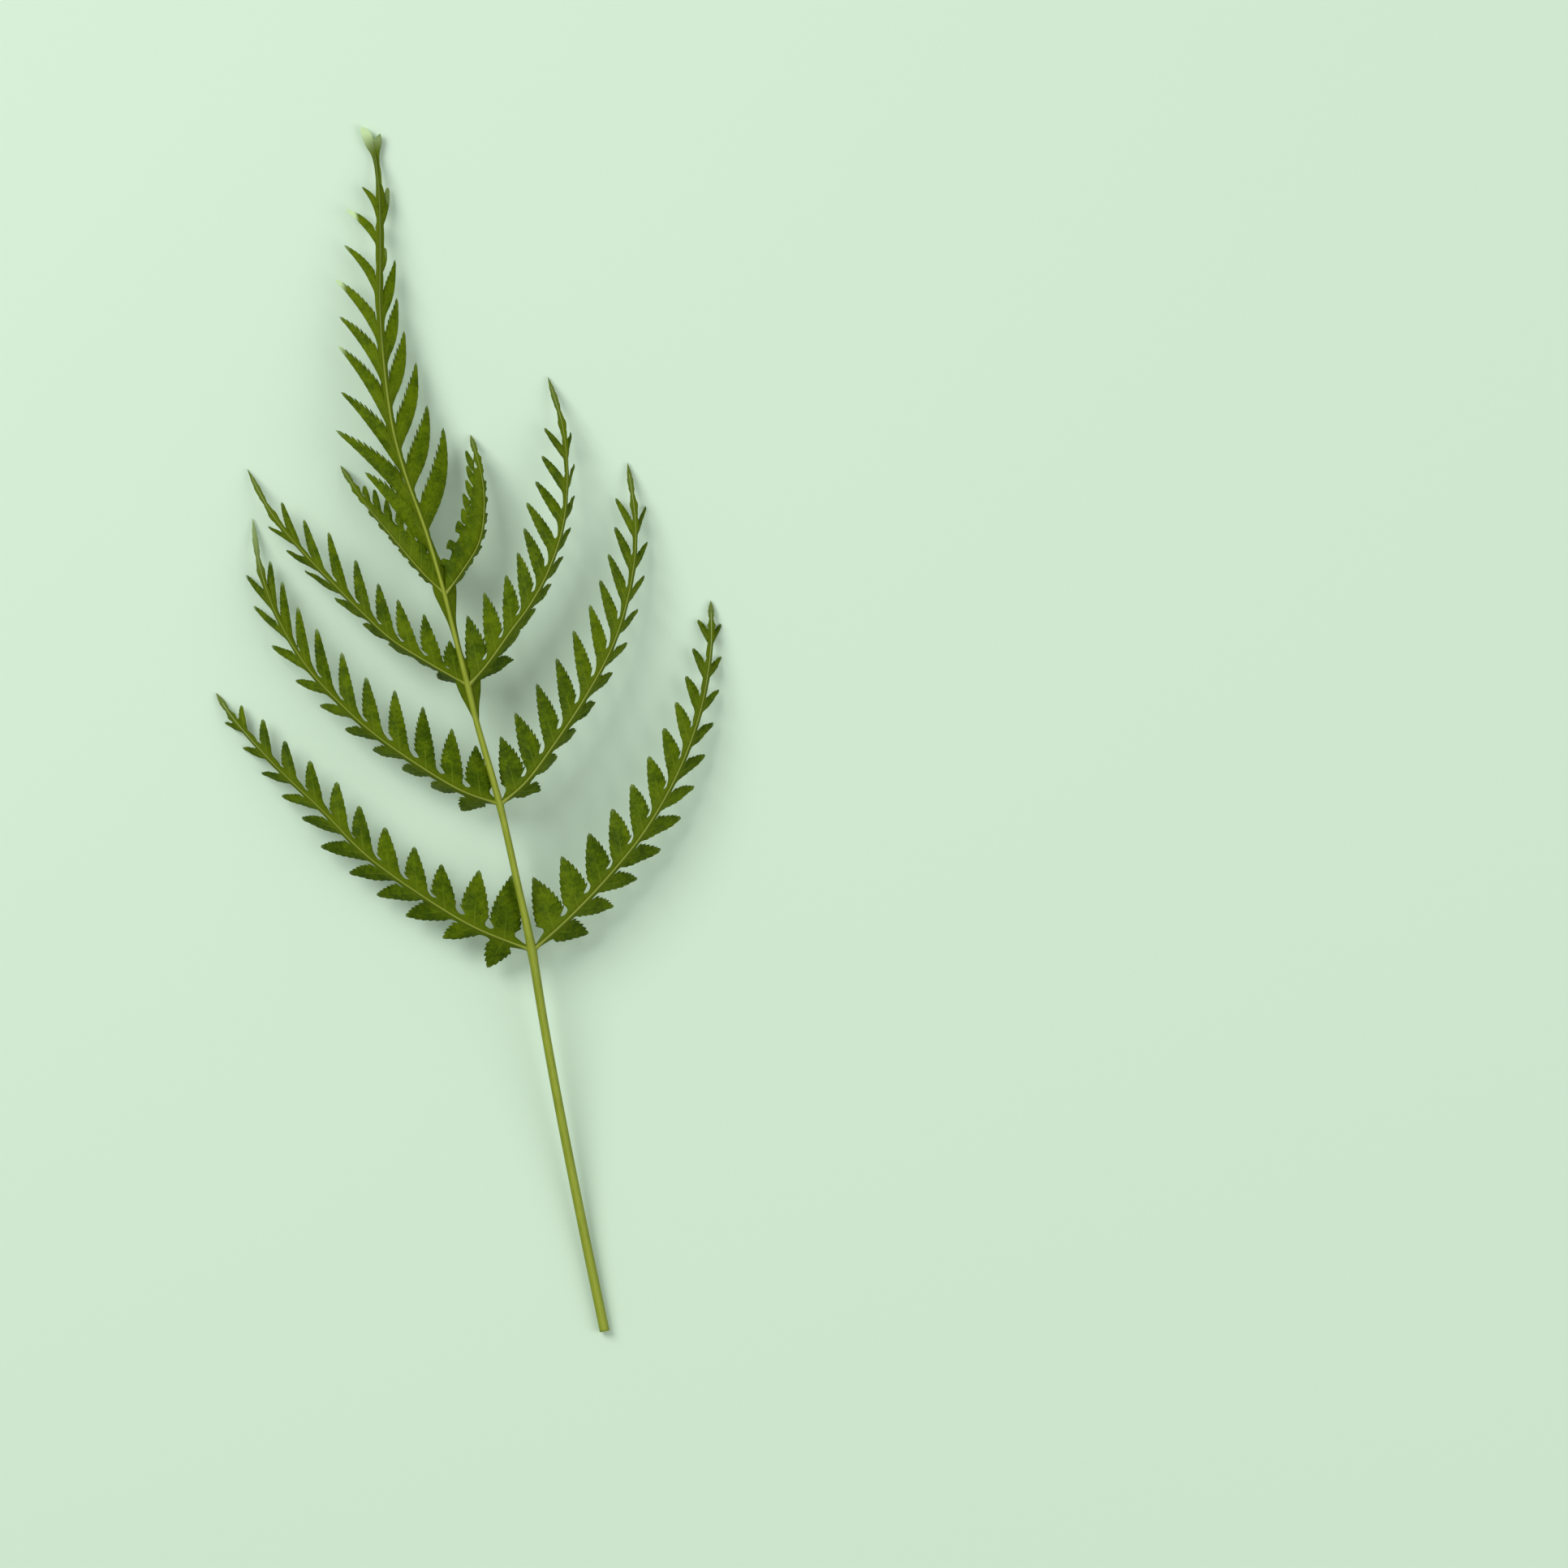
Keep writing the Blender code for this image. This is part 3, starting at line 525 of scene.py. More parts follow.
leafLook = {
    "deep": (0.033, 0.066, 0.0002, 1),
    "light": (0.112, 0.170, 0.0012, 1),
    "vein": (0.17, 0.23, 0.016, 1),
    "nearRib": (0.096, 0.142, 0.002, 1),
    "pale": (0.58, 0.76, 0.40, 1),
    # tooth: the pale tooth tips, partly pale bristles and partly a painted glint
    "tooth": (0.30, 0.38, 0.09, 1),
    "roughness": 0.5,
    "specular": 0.05,
    # noises, each with its scale, its detail and how much it changes the tone
    "cloud": (260.0, 3.0, 1.3),
    "patch": (900.0, 2.0, 0.9),
    "grain": (2600.0, 2.0, 0.8),
    "tone": 0.45,
    "perShade": 0.5,
    # how strong each colour is, and where it sets in, in mm from the rib, middle vein or root
    "ribAmount": 0.75,
    "ribReach": (3.4, 0.6),
    "sideAmount": 0.12,
    "sideVein": (0.15, 0.0),
    "sideFrom": (0.1, 0.5),
    "midAmount": 0.45,
    "midVein": (0.24, 0.05),
    "midReach": (10.0, 2.0),
    # the pale colour of the tooth tips, partly pale bristles and partly a painted glint
    "toothGlintAmount": 0.75,
    "toothFrom": (0.25, 0.9),
    # roughness plain, by the cloud and by the grain; height by the veins, cells and grain
    "rough": (0.42, 0.16, 0.10),
    "height": (0.6, 0.25, 0.3),
    "cells": 3200.0,
    # strength and depth in metres
    "bump": (0.35, 0.00012),
}


def dress(shader, s, colour, rough, height, bump):
    # colour, roughness and bumps onto the shader
    sockets = {"Strength": bump[0], "Distance": bump[1], "Height": height}
    bumped = s.node("ShaderNodeBump", {}, sockets)
    for made, name in ((colour, "Base Color"), (rough, "Roughness"), (bumped, "Normal")):
        s.tree.links.new(made.socket, shader.inputs[name])


def leafMaterial():
    # Deep green with paler veins, rib side and points, pale tooth tips (partly pale bristles,
    # partly a painted glint) and a fine puckered skin:
    # tone = plain + shade * amount + the sum of (noise - 0.5) * amount
    look = leafLook
    material, shader, s = newMaterial("leafGreen", look["roughness"], look["specular"])
    place = s.node("ShaderNodeTexCoord", out="Object")
    across, along, rib = s.value("acrossMm"), s.value("alongMm"), s.value("ribMm")
    noises = {key: s.noise(place, *look[key][:2]) for key in ("cloud", "patch", "grain")}
    tone = look["tone"] + s.value("shade") * look["perShade"]
    for key, made in noises.items():
        tone = tone + (made - 0.5) * look[key][2]
    colour = tone.step(0.0, 1.0).mix(look["deep"], look["light"])
    nearRib = look["ribAmount"] * rib.step(*look["ribReach"])
    colour = nearRib.mix(colour, look["nearRib"])
    # side veins leave the middle one at a slant, one to a tooth
    phase = (along - across * leafletForm["slant"]) / leafletForm["toothPitch"]
    beat = s.maths("ABSOLUTE", s.maths("FRACT", phase + 40.0) - 0.5)
    sideVein = beat.step(*look["sideVein"]) * across.step(*look["sideFrom"]) * look["sideAmount"]
    colour = sideVein.mix(colour, look["vein"])
    midVein = across.step(*look["midVein"]) * along.step(*look["midReach"]) * look["midAmount"]
    colour = midVein.mix(colour, look["vein"])
    colour = s.value("palePoint").mix(colour, look["pale"])
    # pale tooth tips: partly pale bristles, partly a painted glint
    paleGlint = (s.value("paleGlint") * look["toothGlintAmount"]).step(*look["toothFrom"])
    colour = paleGlint.mix(colour, look["tooth"])
    plain, byCloud, byGrain = look["rough"]
    rough = plain + byCloud * noises["cloud"] + byGrain * noises["grain"]
    cells = s.node("ShaderNodeTexVoronoi", {}, {"Vector": place, "Scale": look["cells"]})
    byVein, byCell, byGrain = look["height"]
    height = beat.step(0.0, 0.5) * byVein + cells * byCell + noises["grain"] * byGrain
    dress(shader, s, colour, rough, height, look["bump"])
    return material


stalkLook = {
    "light": (0.33, 0.39, 0.032, 1),
    "deep": (0.20, 0.25, 0.010, 1),
    "green": (0.095, 0.143, 0.004, 1),
    # ridge: the pale top line of the stalk and ribs, partly their own colour and partly a painted
    # highlight
    "ridge": (0.36, 0.42, 0.070, 1),
    "roughness": 0.42,
    "specular": 0.25,
    # noises, each with its scale, its detail and how much it changes the tone
    "streak": (3500.0, 3.0, 1.1),
    "cloud": (120.0, 2.0, 0.9),
    "stretch": (1.0, 0.05, 1.0),
    "tone": 0.55,
    # roughness plain and by the streaks
    "rough": (0.36, 0.18),
    "bump": (0.3, 0.0001),
}


def stalkMaterial():
    # yellow-green, streaked along its length, paler on the raised lines, partly their own pale
    # colour and partly a painted highlight, with the same sum for its tone as the leaf's
    look = stalkLook
    material, shader, s = newMaterial("stalkGreen", look["roughness"], look["specular"])
    place = s.node("ShaderNodeTexCoord", out="Object")
    stretched = s.node("ShaderNodeMapping", {}, {"Vector": place, "Scale": look["stretch"]})
    streak = s.noise(stretched, *look["streak"][:2])
    cloud = s.noise(place, *look["cloud"][:2])
    tone = (streak - 0.5) * look["streak"][2] + (cloud - 0.5) * look["cloud"][2] + look["tone"]
    colour = tone.step(0.0, 1.0).mix(look["deep"], look["light"])
    colour = s.value("ribMm").mix(colour, look["green"])
    # pale top line: partly its own colour, partly a painted highlight
    colour = s.value("paleGlint").mix(colour, look["ridge"])
    colour = s.value("palePoint").mix(colour, leafLook["pale"])
    plain, byStreak = look["rough"]
    dress(shader, s, colour, plain + byStreak * streak, streak, look["bump"])
    return material


# blades

def leafletPoints(rib, leaf):
    # A toothed leaflet as rows from the rib to its point. Its middle is
    # root + length * t * (cos h * along + sin h * out), h = spread + curl * t / 2, less a droop;
    # its margins run from the sinuses through the notches, and each row is drawn from one
    # margin over the middle to the other, the teeth moving only the outer columns.
    form = leafletForm
    sign, hang, length = leaf["sign"], leaf["hang"], leaf["length"]
    root = rib.at(leaf["root"])
    ahead = rib.along(leaf["root"])
    out = rib.out(leaf["root"], sign, hang)
    up = unit(np.cross(ahead, out)) * sign

    def middle(t):
        a = np.radians(leaf["spread"] + 0.5 * leaf["curl"] * t)[..., None]
        t = t[..., None]
        run = np.cos(a) * ahead + np.sin(a) * out
        return root + length * t * run - up * (leaf["droop"] * length * t * t)

    def across(t):
        a = np.radians(leaf["spread"] + leaf["curl"] * t)[..., None]
        return np.sin(a) * ahead - np.cos(a) * out

    axis = math.cos(math.radians(leaf["spread"])) * ahead
    axis = axis + math.sin(math.radians(leaf["spread"])) * out
    sides = {-1: ("low", "lowNotch"), 1: ("high", "highNotch")}
    ends = {
        side: [rib.edge(leaf[key], sign, hang, leaf["edges"][key]) for key in keys]
        for side, keys in sides.items()
    }
    starts = {side: float(np.dot(ends[side][1] - root, axis)) / length for side in sides}
    meanStart = 0.5 * (starts[-1] + starts[1])
    teeth = form["toothShare"] * (1 - meanStart) * length / leaf["toothPitch"]
    teeth = max(int(round(teeth)), form["leastTeeth"])
    # rows: from rib to sinus and notch, five to a tooth, two at the point; a tooth rises
    # evenly to its top and falls back steeply
    phases = np.array(form["toothRows"])
    inTeeth = ((np.arange(teeth)[:, None] + phases) / teeth).reshape(-1)
    before, span = form["toothSpan"]
    q = np.concatenate([form["rows"], before + span * inTeeth, form["lastRows"]])
    none = [np.zeros(len(form[key])) for key in ("rows", "lastRows")]
    phase = np.concatenate([none[0], np.tile(phases, teeth), none[1]])
    top = form["toothTop"]
    saw = np.where(phase <= top, phase / top, (1.0 - phase) / (1.0 - top) * form["toothBack"])
    ease = smoothStep(*form["toothGrow"], q)
    ease = ease * (1.0 - form["toothLoss"] * smoothStep(*form["toothShrink"], q))
    pointed, blunt = np.array(form["pointed"]), np.array(form["blunt"])
    widths = (pointed * (1 - leaf["blunt"]) + blunt * leaf["blunt"]) * leaf["width"]
    places = np.array(form["places"])
    sinus, first = form["rows"][2], form["rows"][0]
    knots = np.concatenate([[sinus, 0.0], places])
    firstAt = meanStart + (1 - meanStart) * places[0]
    tMiddle = np.where(q > places[0], meanStart + (1 - meanStart) * q,
                       (q - first) / (places[0] - first) * firstAt)
    spine = middle(tMiddle)
    half = np.array(form["columns"])
    s = np.concatenate([-half[:0:-1], half])
    halves, widthAt = {}, {}
    for side, (border, _) in sides.items():
        sinusAt, notchAt = ends[side]
        t = starts[side] + (1.0 - starts[side]) * places
        body = middle(t) + across(t) * side * widths[:, None]
        curve = curveThrough(knots, np.vstack([sinusAt, notchAt, body]), np.clip(q, sinus, 1.0))
        share = np.clip((q - first) / (sinus - first), 0, 1)[:, None]
        straight = rib.at(leaf[border]) * (1 - share) + sinusAt * share
        margin = np.where(q[:, None] < sinus, straight, curve)
        reach = margin - spine
        widthAt[side] = np.linalg.norm(reach, axis=-1)
        depth = leaf["toothDepth"] * leaf["saw"][0 if side < 0 else 1] * ease
        depth = np.minimum(depth, form["toothLimit"] * widthAt[side])
        forward = unit(np.gradient(margin, axis=0))
        forward = forward * (form["toothForward"] * saw**2 * depth)[:, None]
        tooth = unit(reach) * ((saw - 0.5) * depth)[:, None] + forward
        f = half[1:] if side > 0 else half[:0:-1]
        body = spine[:, None] + reach[:, None] * f[None, :, None]
        moved = smoothStep(form["toothFrom"], 1.0, f)[None, :, None]
        halves[side] = body + tooth[:, None] * moved
    points = np.concatenate([halves[-1], spine[:, None], halves[1]], axis=1)
    width = np.where(s[None] < 0, widthAt[-1][:, None], widthAt[1][:, None])
    x = np.abs(s)[None] * width
    along = (tMiddle * length)[:, None]
    # lift: a ridge over the middle vein, waves between the side veins, a fold, a roll and a
    # ripple, all fading out at the rib and at the point
    beat = (along - form["slant"] * x) / leaf["toothPitch"]
    full, fading = form["settle"]
    settled = smoothStep(sinus, full, q)[:, None] * smoothStep(1.0, fading, q)[:, None]
    ridge = form["veinRidge"] * np.exp(-(x / form["veinWidth"])**2)
    ridge = ridge * (1 - form["veinLoss"] * np.clip(q, 0, 1))[:, None]
    swell = -form["waves"] * np.cos(2 * np.pi * beat) * smoothStep(*form["wavesFrom"], x)
    fold = -form["fold"] * x**2 + leaf["roll"] * s[None] * width
    lengthways, sideways = form["rippleWaves"]
    turns = q[:, None] * lengthways + leaf["turn"] + sideways * s[None]
    ripple = leaf["ripple"] * np.sin(2 * np.pi * turns)
    lift = (ridge + swell + fold + ripple * s[None]**2) * settled
    points = points + up * lift[..., None]
    amount, begin = leaf["point"]
    pale = amount * smoothStep(*(begin + at for at in form["paleSpan"]), q)[:, None]
    values = {
        "acrossMm": x,
        "alongMm": along,
        "ribMm": np.maximum((points - root) @ out, 0.0),
        "palePoint": pale,
        # pale tooth tips, partly pale bristles and partly a painted glint
        "paleGlint": np.where(np.abs(s)[None] > 0.99, (saw**3 * ease)[:, None], 0.0),
        "shade": leaf["shade"],
    }
    return onSurface(points), values


def sideLeaflets(skin, rib, sign, hang, edges, start, startEdge, leaves, rng, sinus):
    # one side of a rib: each leaflet's borders are halfway between neighbouring notches
    form = leafletForm
    lowNotches = [leaf["root"] - form["leave"] * leaf["reach"] for leaf in leaves]
    highNotches = [leaf["root"] + form["notch"] * leaf["reach"] for leaf in leaves]
    borders = [start]
    borders += [0.5 * (high + low) for high, low in zip(highNotches, lowNotches[1:])]
    borders += [highNotches[-1]]
    for i, leaf in enumerate(leaves):
        edge = edges[i]
        lowEdge = startEdge if i == 0 else sinus * 0.5 * (edge + edges[i - 1])
        last = i == len(leaves) - 1
        highEdge = edge if last else sinus * 0.5 * (edge + edges[i + 1])
        leaf.update({
            "sign": sign, "hang": hang, "low": borders[i], "high": borders[i + 1],
            "lowNotch": lowNotches[i], "highNotch": highNotches[i],
            "edges": {"low": lowEdge, "high": highEdge, "lowNotch": edge, "highNotch": edge},
            "roll": rng.uniform(*form["roll"]), "ripple": rng.uniform(*form["ripple"]),
            "turn": rng.uniform(0, 1), "shade": leaf["shade"] + rng.uniform(*form["shade"]),
        })
        points, values = leafletPoints(rib, leaf)
        skin.grid(points, sign < 0, values)


branchForm = {
    "steps": 200, "fall": 1.7, "end": 0.4,
    # most half width of a leaflet as a share of its length, and how its loss sets in
    "slim": 0.29, "extra": 0.3, "loss": 0.7,
    # the first leaflets bend by this, and the last ones less by that
    "curl": (6, 4), "blunt": 0.8, "teethLost": 0.75, "droop": 0.05, "saw": (0.6, 1.0),
    "point": (0.10, 0.90), "startEdge": 0.4,
}

strapForm = {
    "rows": 40, "columns": (-1.0, -0.5, 0.0, 0.5, 1.0),
    "places": (0.0, 0.14, 0.28, 0.40, 0.56, 0.66, 0.9, 1.0),
    "widths": (0.2, 0.8, 0.75, 1.1, 0.6, 0.8, 0.42, 0.0),
    "notch": 0.16, "notches": 9, "notchFade": (1.0, 0.8),
    "veinGap": 0.1, "alongMm": 6.0, "ribMm": 0.8, "paleFrom": (0.3, 1.0),
}


def branchRib(spec):
    # height(u) = height * (1 - u^1.7) + arch * 4u(1 - u) + 0.4u at the share u of the length
    form = branchForm
    flat, total = smoothPath(spec["path"], form["steps"])
    run = np.linspace(0, total, form["steps"])
    u = run / total
    z = spec["height"] * (1 - u**form["fall"]) + spec["arch"] * 4 * u * (1 - u) + form["end"] * u
    return Rib(np.column_stack([flat, z]), run, spec["lean"]), total


def branchBlade(spec, lengths, rng, material):
    # pairs of leaflets, longest near the stalk, then a narrow strap to the end
    form = branchForm
    rib, total = branchRib(spec)
    pairs = spec["pairs"]
    pitches = np.array([spec["pitch"] * (1 + spec["grow"] * i / pairs) for i in range(pairs)])
    roots = spec["root"] + np.concatenate([[0], np.cumsum(pitches[:-1])])
    innerSign = 1.0 if spec["path"][-1][0] > spec["path"][0][0] else -1.0
    skin = Skin()
    for which in (0, 1):
        numbers, _, spreads = np.array(spec[("inner", "outer")[which]]).T
        bend = spec.get("bend", 0.0)
        leaves = []
        for i in range(pairs):
            share = i / (pairs - 1)
            length = lengths[which][i]
            width = min(spec["broad"][0] * pitches[i] + form["extra"], form["slim"] * length)
            leaves.append({
                "root": roots[i], "reach": pitches[i], "length": length,
                "width": width * (1 - spec["broad"][1] * share**form["loss"]),
                "spread": float(np.interp(i, numbers, spreads)) - 0.5 * bend,
                "curl": bend + form["curl"][0] - form["curl"][1] * share,
                "saw": spec.get("saw", form["saw"]), "blunt": form["blunt"] * share,
                "droop": form["droop"] + which * spec.get("bent", 0.0) * (1 - share) * (i > 0),
                "toothPitch": leafletForm["toothPitch"],
                "toothDepth": leafletForm["toothDepth"] * (1 - form["teethLost"] * share),
                "point": (form["point"][0] + spec["pale"] * share, form["point"][1]),
                "shade": 0.0,
            })

        shares = np.arange(pairs) / (pairs - 1)
        edges = spec["edge"][which] * (1 - spec["edge"][2] * shares)
        if which == 0:
            edges = spec.get("innerEdges", edges)
        sign = innerSign if which == 0 else -innerSign
        end = roots[-1] + leafletForm["notch"] * pitches[-1]
        hang = (spec["hang"][which], spec["hang"][2 * which], end)
        sinus = spec.get("sinus", leafletForm["sinus"])
        sideLeaflets(skin, rib, sign, hang, edges, 0.0, form["startEdge"], leaves, rng, sinus)
    # strap: centre + s * width * left for s from -1 to 1, with small notches in the width
    flat = strapForm
    share = np.linspace(0, 1, flat["rows"])
    d = roots[-1] + (total - roots[-1]) * share
    widths = curveThrough(flat["places"], np.array(flat["widths"]), share)
    notches = (np.mod(share * flat["notches"], 1) - 0.5) * smoothStep(*flat["notchFade"], share)
    x = np.array(flat["columns"])[None] * (widths + flat["notch"] * notches)[:, None]
    points = rib.at(d)[:, None] + rib.left(d)[:, None] * x[..., None]
    skin.grid(onSurface(points), True, {
        "acrossMm": np.abs(x) + flat["veinGap"], "alongMm": flat["alongMm"], "ribMm": flat["ribMm"],
        "palePoint": (spec["pale"] * smoothStep(*flat["paleFrom"], share))[:, None],
    })
    return skin.piece("blade_" + spec["name"], material, leafletForm["thick"])


def hump(a, wide):
    # e^-(x^2) with x = (angle from the top) / wide: 1 at the top of a ring
    return np.exp(-((a - np.pi / 2) / wide)**2)


def tube(skin, centres, side, over, under, groove, values, sides):
    # ring of angle a: centre + side * cos a * left + tall * sin a * up, where tall is over on
    # the upper half and under on the lower one, pulled in at the groove
    along = unit(np.gradient(centres, axis=0))
    left = unit(np.cross([0.0, 0.0, 1.0], along))
    up = np.cross(along, left)
    a = np.linspace(0, 2 * np.pi, sides, endpoint=False)
    pull = 1 - groove[0] * hump(a, groove[1])
    height = np.where(np.sin(a)[None] > 0, over[:, None], under[:, None])
    ring = centres[:, None] + left[:, None] * (side[:, None] * np.cos(a)[None] * pull)[..., None]
    ring = ring + up[:, None] * (height * np.sin(a)[None] * pull)[..., None]
    first = np.repeat(centres[:1][:, None], sides, axis=1)
    last = np.repeat(centres[-1:][:, None], sides, axis=1)
    rows = np.concatenate([first, ring, last], axis=0)
    spread = {k: np.concatenate([v[:1], v, v[-1:]]) for k, v in values(a).items()}
    skin.grid(rows, True, spread, closed=True)


# materials and blades

leafGreen = leafMaterial()
stalkGreen = stalkMaterial()
print("materials made")

# lengths are drawn in the order of the branches, inner side first, and vary by 2 % each way
draws = {"lengths": 11, "leaflets": 7, "lengthVaries": 0.04}
draw = random.Random(draws["lengths"])
rng = np.random.default_rng(draws["leaflets"])
for spec in sideBranches:
    lengths = []
    for which in (0, 1):
        side = []
        numbers, measured, _ = np.array(spec[("inner", "outer")[which]]).T
        for i in range(spec["pairs"]):
            length = float(np.interp(i, numbers, measured))
            side.append(length * (1 + draws["lengthVaries"] * (draw.random() - 0.5)))
        lengths.append(side)
    branchBlade(spec, lengths, rng, leafGreen)
print("side branches made")


def upperBlade():
    # single lobes left and right by turns, narrow edges below, a neck and a forked tip
    part = upperFrond
    line, _ = smoothPath(stalkLine, 400)
    rib = Rib(line[:, :3], line[:, 1], part["lean"])
    skin = Skin()

    def strip(y, widths, sign, hang, values):
        # from the stalk's middle to the blade's edge: rib * (1 - f) + edge * f
        f = np.linspace(0, 1, part["stripColumns"])[None, :, None]
        points = rib.at(y)[:, None] * (1 - f) + rib.edge(y, sign, hang, widths)[:, None] * f
        skin.grid(onSurface(points).transpose(1, 0, 2), sign < 0, values)

    for which, (label, sign) in enumerate((("left", 1.0), ("right", -1.0))):
        leaves = []
        table = part[label]
        for i, (y, length, spread) in enumerate(table):
            share = i / (len(table) - 1)
            curl = part["curl"][which][0] * (1 - share) + part["curl"][which][1] * share
            teeth = 1 - smoothStep(*part["teethLess"], share)
            leaves.append({
                "root": y, "length": length,
                "reach": part["reach"][0] * (1 - part["reach"][1] * share),
                "width": part["broad"][which][0] - part["broad"][which][1] * share,
                "spread": spread - 0.5 * (curl - part["curl"][which][0]), "curl": curl,
                "saw": part["saw"], "blunt": part["blunt"][which][i], "droop": part["droop"],
                "shade": part["shade"][0] + part["shade"][1] * share,
                "toothPitch": leafletForm["lobePitch"] * (1 - part["pitchLess"] * share),
                "toothDepth": leafletForm["lobeDepth"] * teeth,
                "point": part["points"][which][i],
            })

        edges = part["edge"][0] + part["edge"][1] * np.arange(len(table)) / (len(table) - 1)
        start = leaves[0]["root"] - part["before"]
        begin = part["beforeEdge"]
        hang = (part["hang"][which], part["hang"][which], 1.0)
        sideLeaflets(skin, rib, sign, hang, edges, start, begin, leaves, rng, part["sinus"])
        # narrow edge below the first lobe, and above the last
        places = np.array(part["edges"])
        ahead, narrow = part["taper"]
        knots = np.concatenate([[places[0, 0] - ahead], places[:, 0], [start]])
        y = np.linspace(knots[0], start, part["belowRows"])
        wide = places[:, 1] * (1 + part["rightEdge"] * which)
        widths = curveThrough(knots, np.concatenate([[narrow], wide, [begin]]), y)
        fromRib = np.linspace(0, 2, part["stripColumns"])[:, None]
        strip(y, widths, sign, hang, {**part["plain"], "ribMm": fromRib})
        top = leaves[-1]["root"] + leafletForm["notch"] * leaves[-1]["reach"]
        y = np.linspace(top - part["overlap"], part["last"] + part["overlap"], part["aboveRows"])
        knots = np.array([y[0], y[part["aboveRows"] // 2], y[-1]])
        strip(y, curveThrough(knots, np.array(part["above"][which]), y), sign, hang, part["plain"])
    # height of the neck and of the forked tip: falls evenly, then almost level
    high = rib.at(part["last"])[2]
    level = high - part["neckFall"] * part["neckLength"] + part["tipRise"]

    def heightAt(y):
        on = y - part["last"]
        fall = part["tipFall"] * (on - part["neckLength"])
        return np.maximum(high - part["neckFall"] * on, level - fall)

    t = np.linspace(0, 7, part["forkRows"])
    f = np.linspace(0, 1, part["forkColumns"])[None, :, None]
    for which, lines in enumerate(part["fork"]):
        outer, inner = (curveThrough(np.arange(8.0), np.array(line), t) for line in lines)
        flat = outer[:, None] * (1 - f) + inner[:, None] * f
        points = np.concatenate([flat, heightAt(flat[..., 1])[..., None]], axis=-1)
        pale = part["forkPale"][which] * (0.05 + 0.95 * smoothStep(*part["forkPaleFrom"], t))
        skin.grid(onSurface(points), which == 0, {**part["plain"], "palePoint": pale[:, None]})
    return skin.piece("blade_upper", leafGreen, leafletForm["thick"])


upperBlade()
print("upper blade made")

stalkForm = {
    # groove as its depth and its width in radians
    "steps": 420, "sides": 28, "under": 0.92, "groove": (0.10, 0.30),
    # a swelling where each pair of side branches leaves, and how much narrower the top is
    "swell": 0.12, "swellLength": 2.6, "swellAt": (105.2, 145.7, 178.9, 204.5),
    "narrow": 0.28, "narrowFrom": (170, 240),
    # greener down the sides, and from these places on; the middle of the top is paler, partly its
    # own pale line and partly a painted highlight
    "topWide": 0.85, "sideGreen": 0.5, "upGreen": 0.3, "greenFrom": (206, 250),
    "leafy": 2.6, "leafyFrom": (250, 304), "middleWide": 0.20, "middlePaleAndGlint": 0.55, "paleLoss": 0.8,
}

ribForm = {
    "steps": 140, "sides": 14, "wide": 0.35, "tip": 0.12, "flare": 1.3, "flareLength": 2.4,
    "size": 0.85, "reach": 0.97, "groove": (0.0, 0.30),
    # heights over and under the middle: the least one, and the one at the root per size
    "over": (0.20, 0.78), "under": (0.18, 0.95), "fall": 0.8, "taper": 0.9,
    # green everywhere, on the sides and towards the end; the top is paler, partly its own colour
    # and partly a painted highlight, and the end is paler too
    "topWide": 0.9, "green": (0.25, 0.5, 0.25), "topPaleAndGlint": 0.28, "paleLoss": 0.4,
    "endPale": 0.3, "endFrom": (0.75, 1.0),
}


def stalkAndRibs():
    # the grooved main stalk, and a raised rib on each side branch with a flare at its root
    skin = Skin()
    form = stalkForm
    line, _ = smoothPath(stalkLine, form["steps"])
    radius = line[:, 3]
    y = line[:, 1]
    swell = sum(np.exp(-((y - at) / form["swellLength"])**2) for at in form["swellAt"])
    wide = radius * (1 + form["swell"] * swell)
    wide = wide * (1 - form["narrow"] * smoothStep(*form["narrowFrom"], y))
    green = smoothStep(*form["greenFrom"], y)[:, None]
    leafy = smoothStep(*form["leafyFrom"], y)[:, None]

    def stalkValues(a, form=form):
        top, middle = hump(a, form["topWide"])[None], hump(a, form["middleWide"])[None]
        up = form["upGreen"] * (green + form["leafy"] * leafy)
        return {
            "ribMm": np.clip(form["sideGreen"] * (1 - top) + up, 0, 1),
            # pale middle of the top, partly its own pale line and partly a painted highlight
            "paleGlint": form["middlePaleAndGlint"] * middle * (1 - form["paleLoss"] * leafy),
        }

    under = form["under"] * radius
    tube(skin, line[:, :3], wide, radius, under, form["groove"], stalkValues, form["sides"])
    skin.piece("stalk", stalkGreen)
    skin = Skin()
    form = ribForm
    for spec in sideBranches:
        rib, total = branchRib(spec)
        d = np.linspace(0, total * form["reach"], form["steps"])
        u = d / total
        size = spec["rib"] / form["size"]
        wide = (form["tip"] + (form["wide"] - form["tip"]) * (1 - u)**form["taper"]) * size
        wide = wide * (1 + form["flare"] * np.exp(-(d / form["flareLength"])**2))
        over, under = (
            least + (spec["rib"] * most - least) * (1 - u)**form["fall"]
            for least, most in (form["over"], form["under"])
        )

        def ribValues(a, u=u[:, None]):
            top = hump(a, form["topWide"])[None]
            plain, side, end = form["green"]
            return {
                "ribMm": np.clip(plain + side * (1 - top) + end * u, 0, 1),
                # paler top: partly the rib's own pale colour, partly a painted highlight
                "paleGlint": form["topPaleAndGlint"] * top * (1 - form["paleLoss"] * u),
                "palePoint": form["endPale"] * smoothStep(*form["endFrom"], u),
            }

        centres = onSurface(rib.at(d))
        tube(skin, centres, wide, over, under, form["groove"], ribValues, form["sides"])
    skin.piece("ribs", stalkGreen)


stalkAndRibs()
print("stalk and ribs made")

# stage

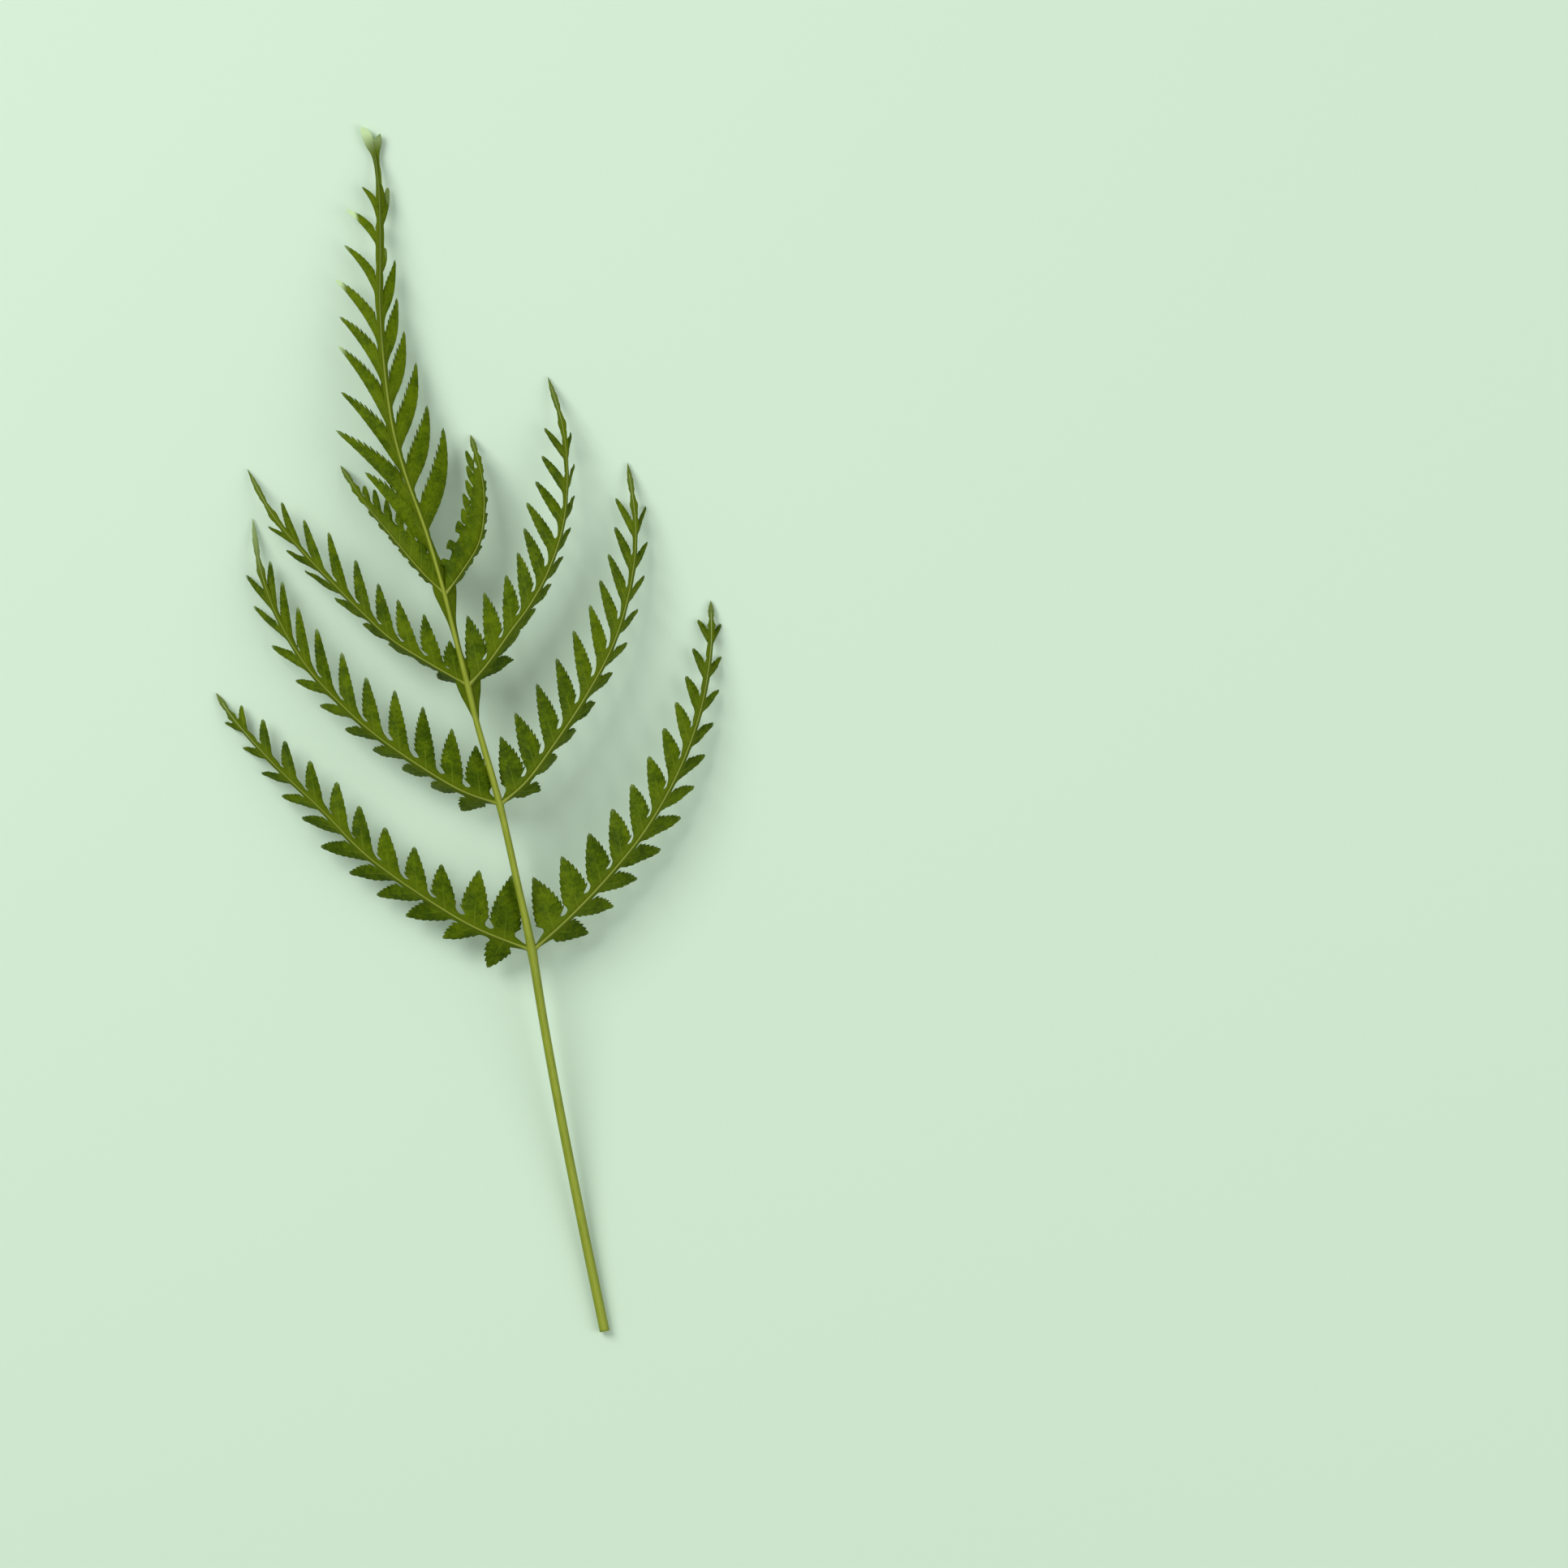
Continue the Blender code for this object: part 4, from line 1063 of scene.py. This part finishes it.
studio = {
    "floor": (0.69, 0.86, 0.68, 1),
    "sky": (0.94, 1.0, 0.96, 1),
    "skyStrength": 0.355,
    "floorReach": 6.0,
    "floorRoughness": 0.85,
    "floorSpecular": 0.2,
    # place, size and power of the two lamps
    "key": ((-1.1, 1.2, 1.5), 1.5, 33.0),
    "fill": ((1.5, -0.7, 1.4), 1.8, 15.5),
    "cameraHeight": 8.0,
    "lens": 677.5,
    "sensor": 36.0,
    "clip": (0.01, 50.0),
    "centre": (0.0774, -0.0302),
    "turn": -10.99,
}


def area(name):
    # soft round lamp, turned to the middle of the floor
    place, size, power = studio[name]
    light = bpy.data.lights.new(name, "AREA")
    light.shape = "DISK"
    light.size = size
    light.energy = power
    obj = bpy.data.objects.new(name, light)
    bpy.context.scene.collection.objects.link(obj)
    obj.location = place
    tilt = math.atan2(math.hypot(place[0], place[1]), place[2])
    obj.rotation_euler = (tilt, 0.0, math.atan2(-place[1], -place[0]) - math.pi / 2)


def stage():
    # pale floor, plain sky, two lamps and the camera that looks down
    floorMesh = bpy.data.meshes.new("floor")
    r = studio["floorReach"]
    floorMesh.from_pydata([(-r, -r, 0), (r, -r, 0), (r, r, 0), (-r, r, 0)], [], [(0, 1, 2, 3)])
    floor = bpy.data.objects.new("floor", floorMesh)
    bpy.context.scene.collection.objects.link(floor)
    look = studio["floorRoughness"], studio["floorSpecular"]
    material, shader, _ = newMaterial("paleFloor", *look)
    shader.inputs["Base Color"].default_value = studio["floor"]
    floorMesh.materials.append(material)
    world = bpy.data.worlds.new("studio")
    world.use_nodes = True
    sky = world.node_tree.nodes["Background"]
    sky.inputs["Color"].default_value = studio["sky"]
    sky.inputs["Strength"].default_value = studio["skyStrength"]
    bpy.context.scene.world = world
    bpy.context.scene.view_settings.view_transform = "Standard"
    area("key")
    area("fill")
    camera = bpy.data.cameras.new("camera")
    camera.lens = studio["lens"]
    camera.sensor_width = studio["sensor"]
    camera.clip_start, camera.clip_end = studio["clip"]
    eye = bpy.data.objects.new("camera", camera)
    bpy.context.scene.collection.objects.link(eye)
    eye.location = (*studio["centre"], studio["cameraHeight"])
    eye.rotation_euler = (0.0, 0.0, math.radians(studio["turn"]))
    bpy.context.scene.camera = eye


stage()
print("stage made")
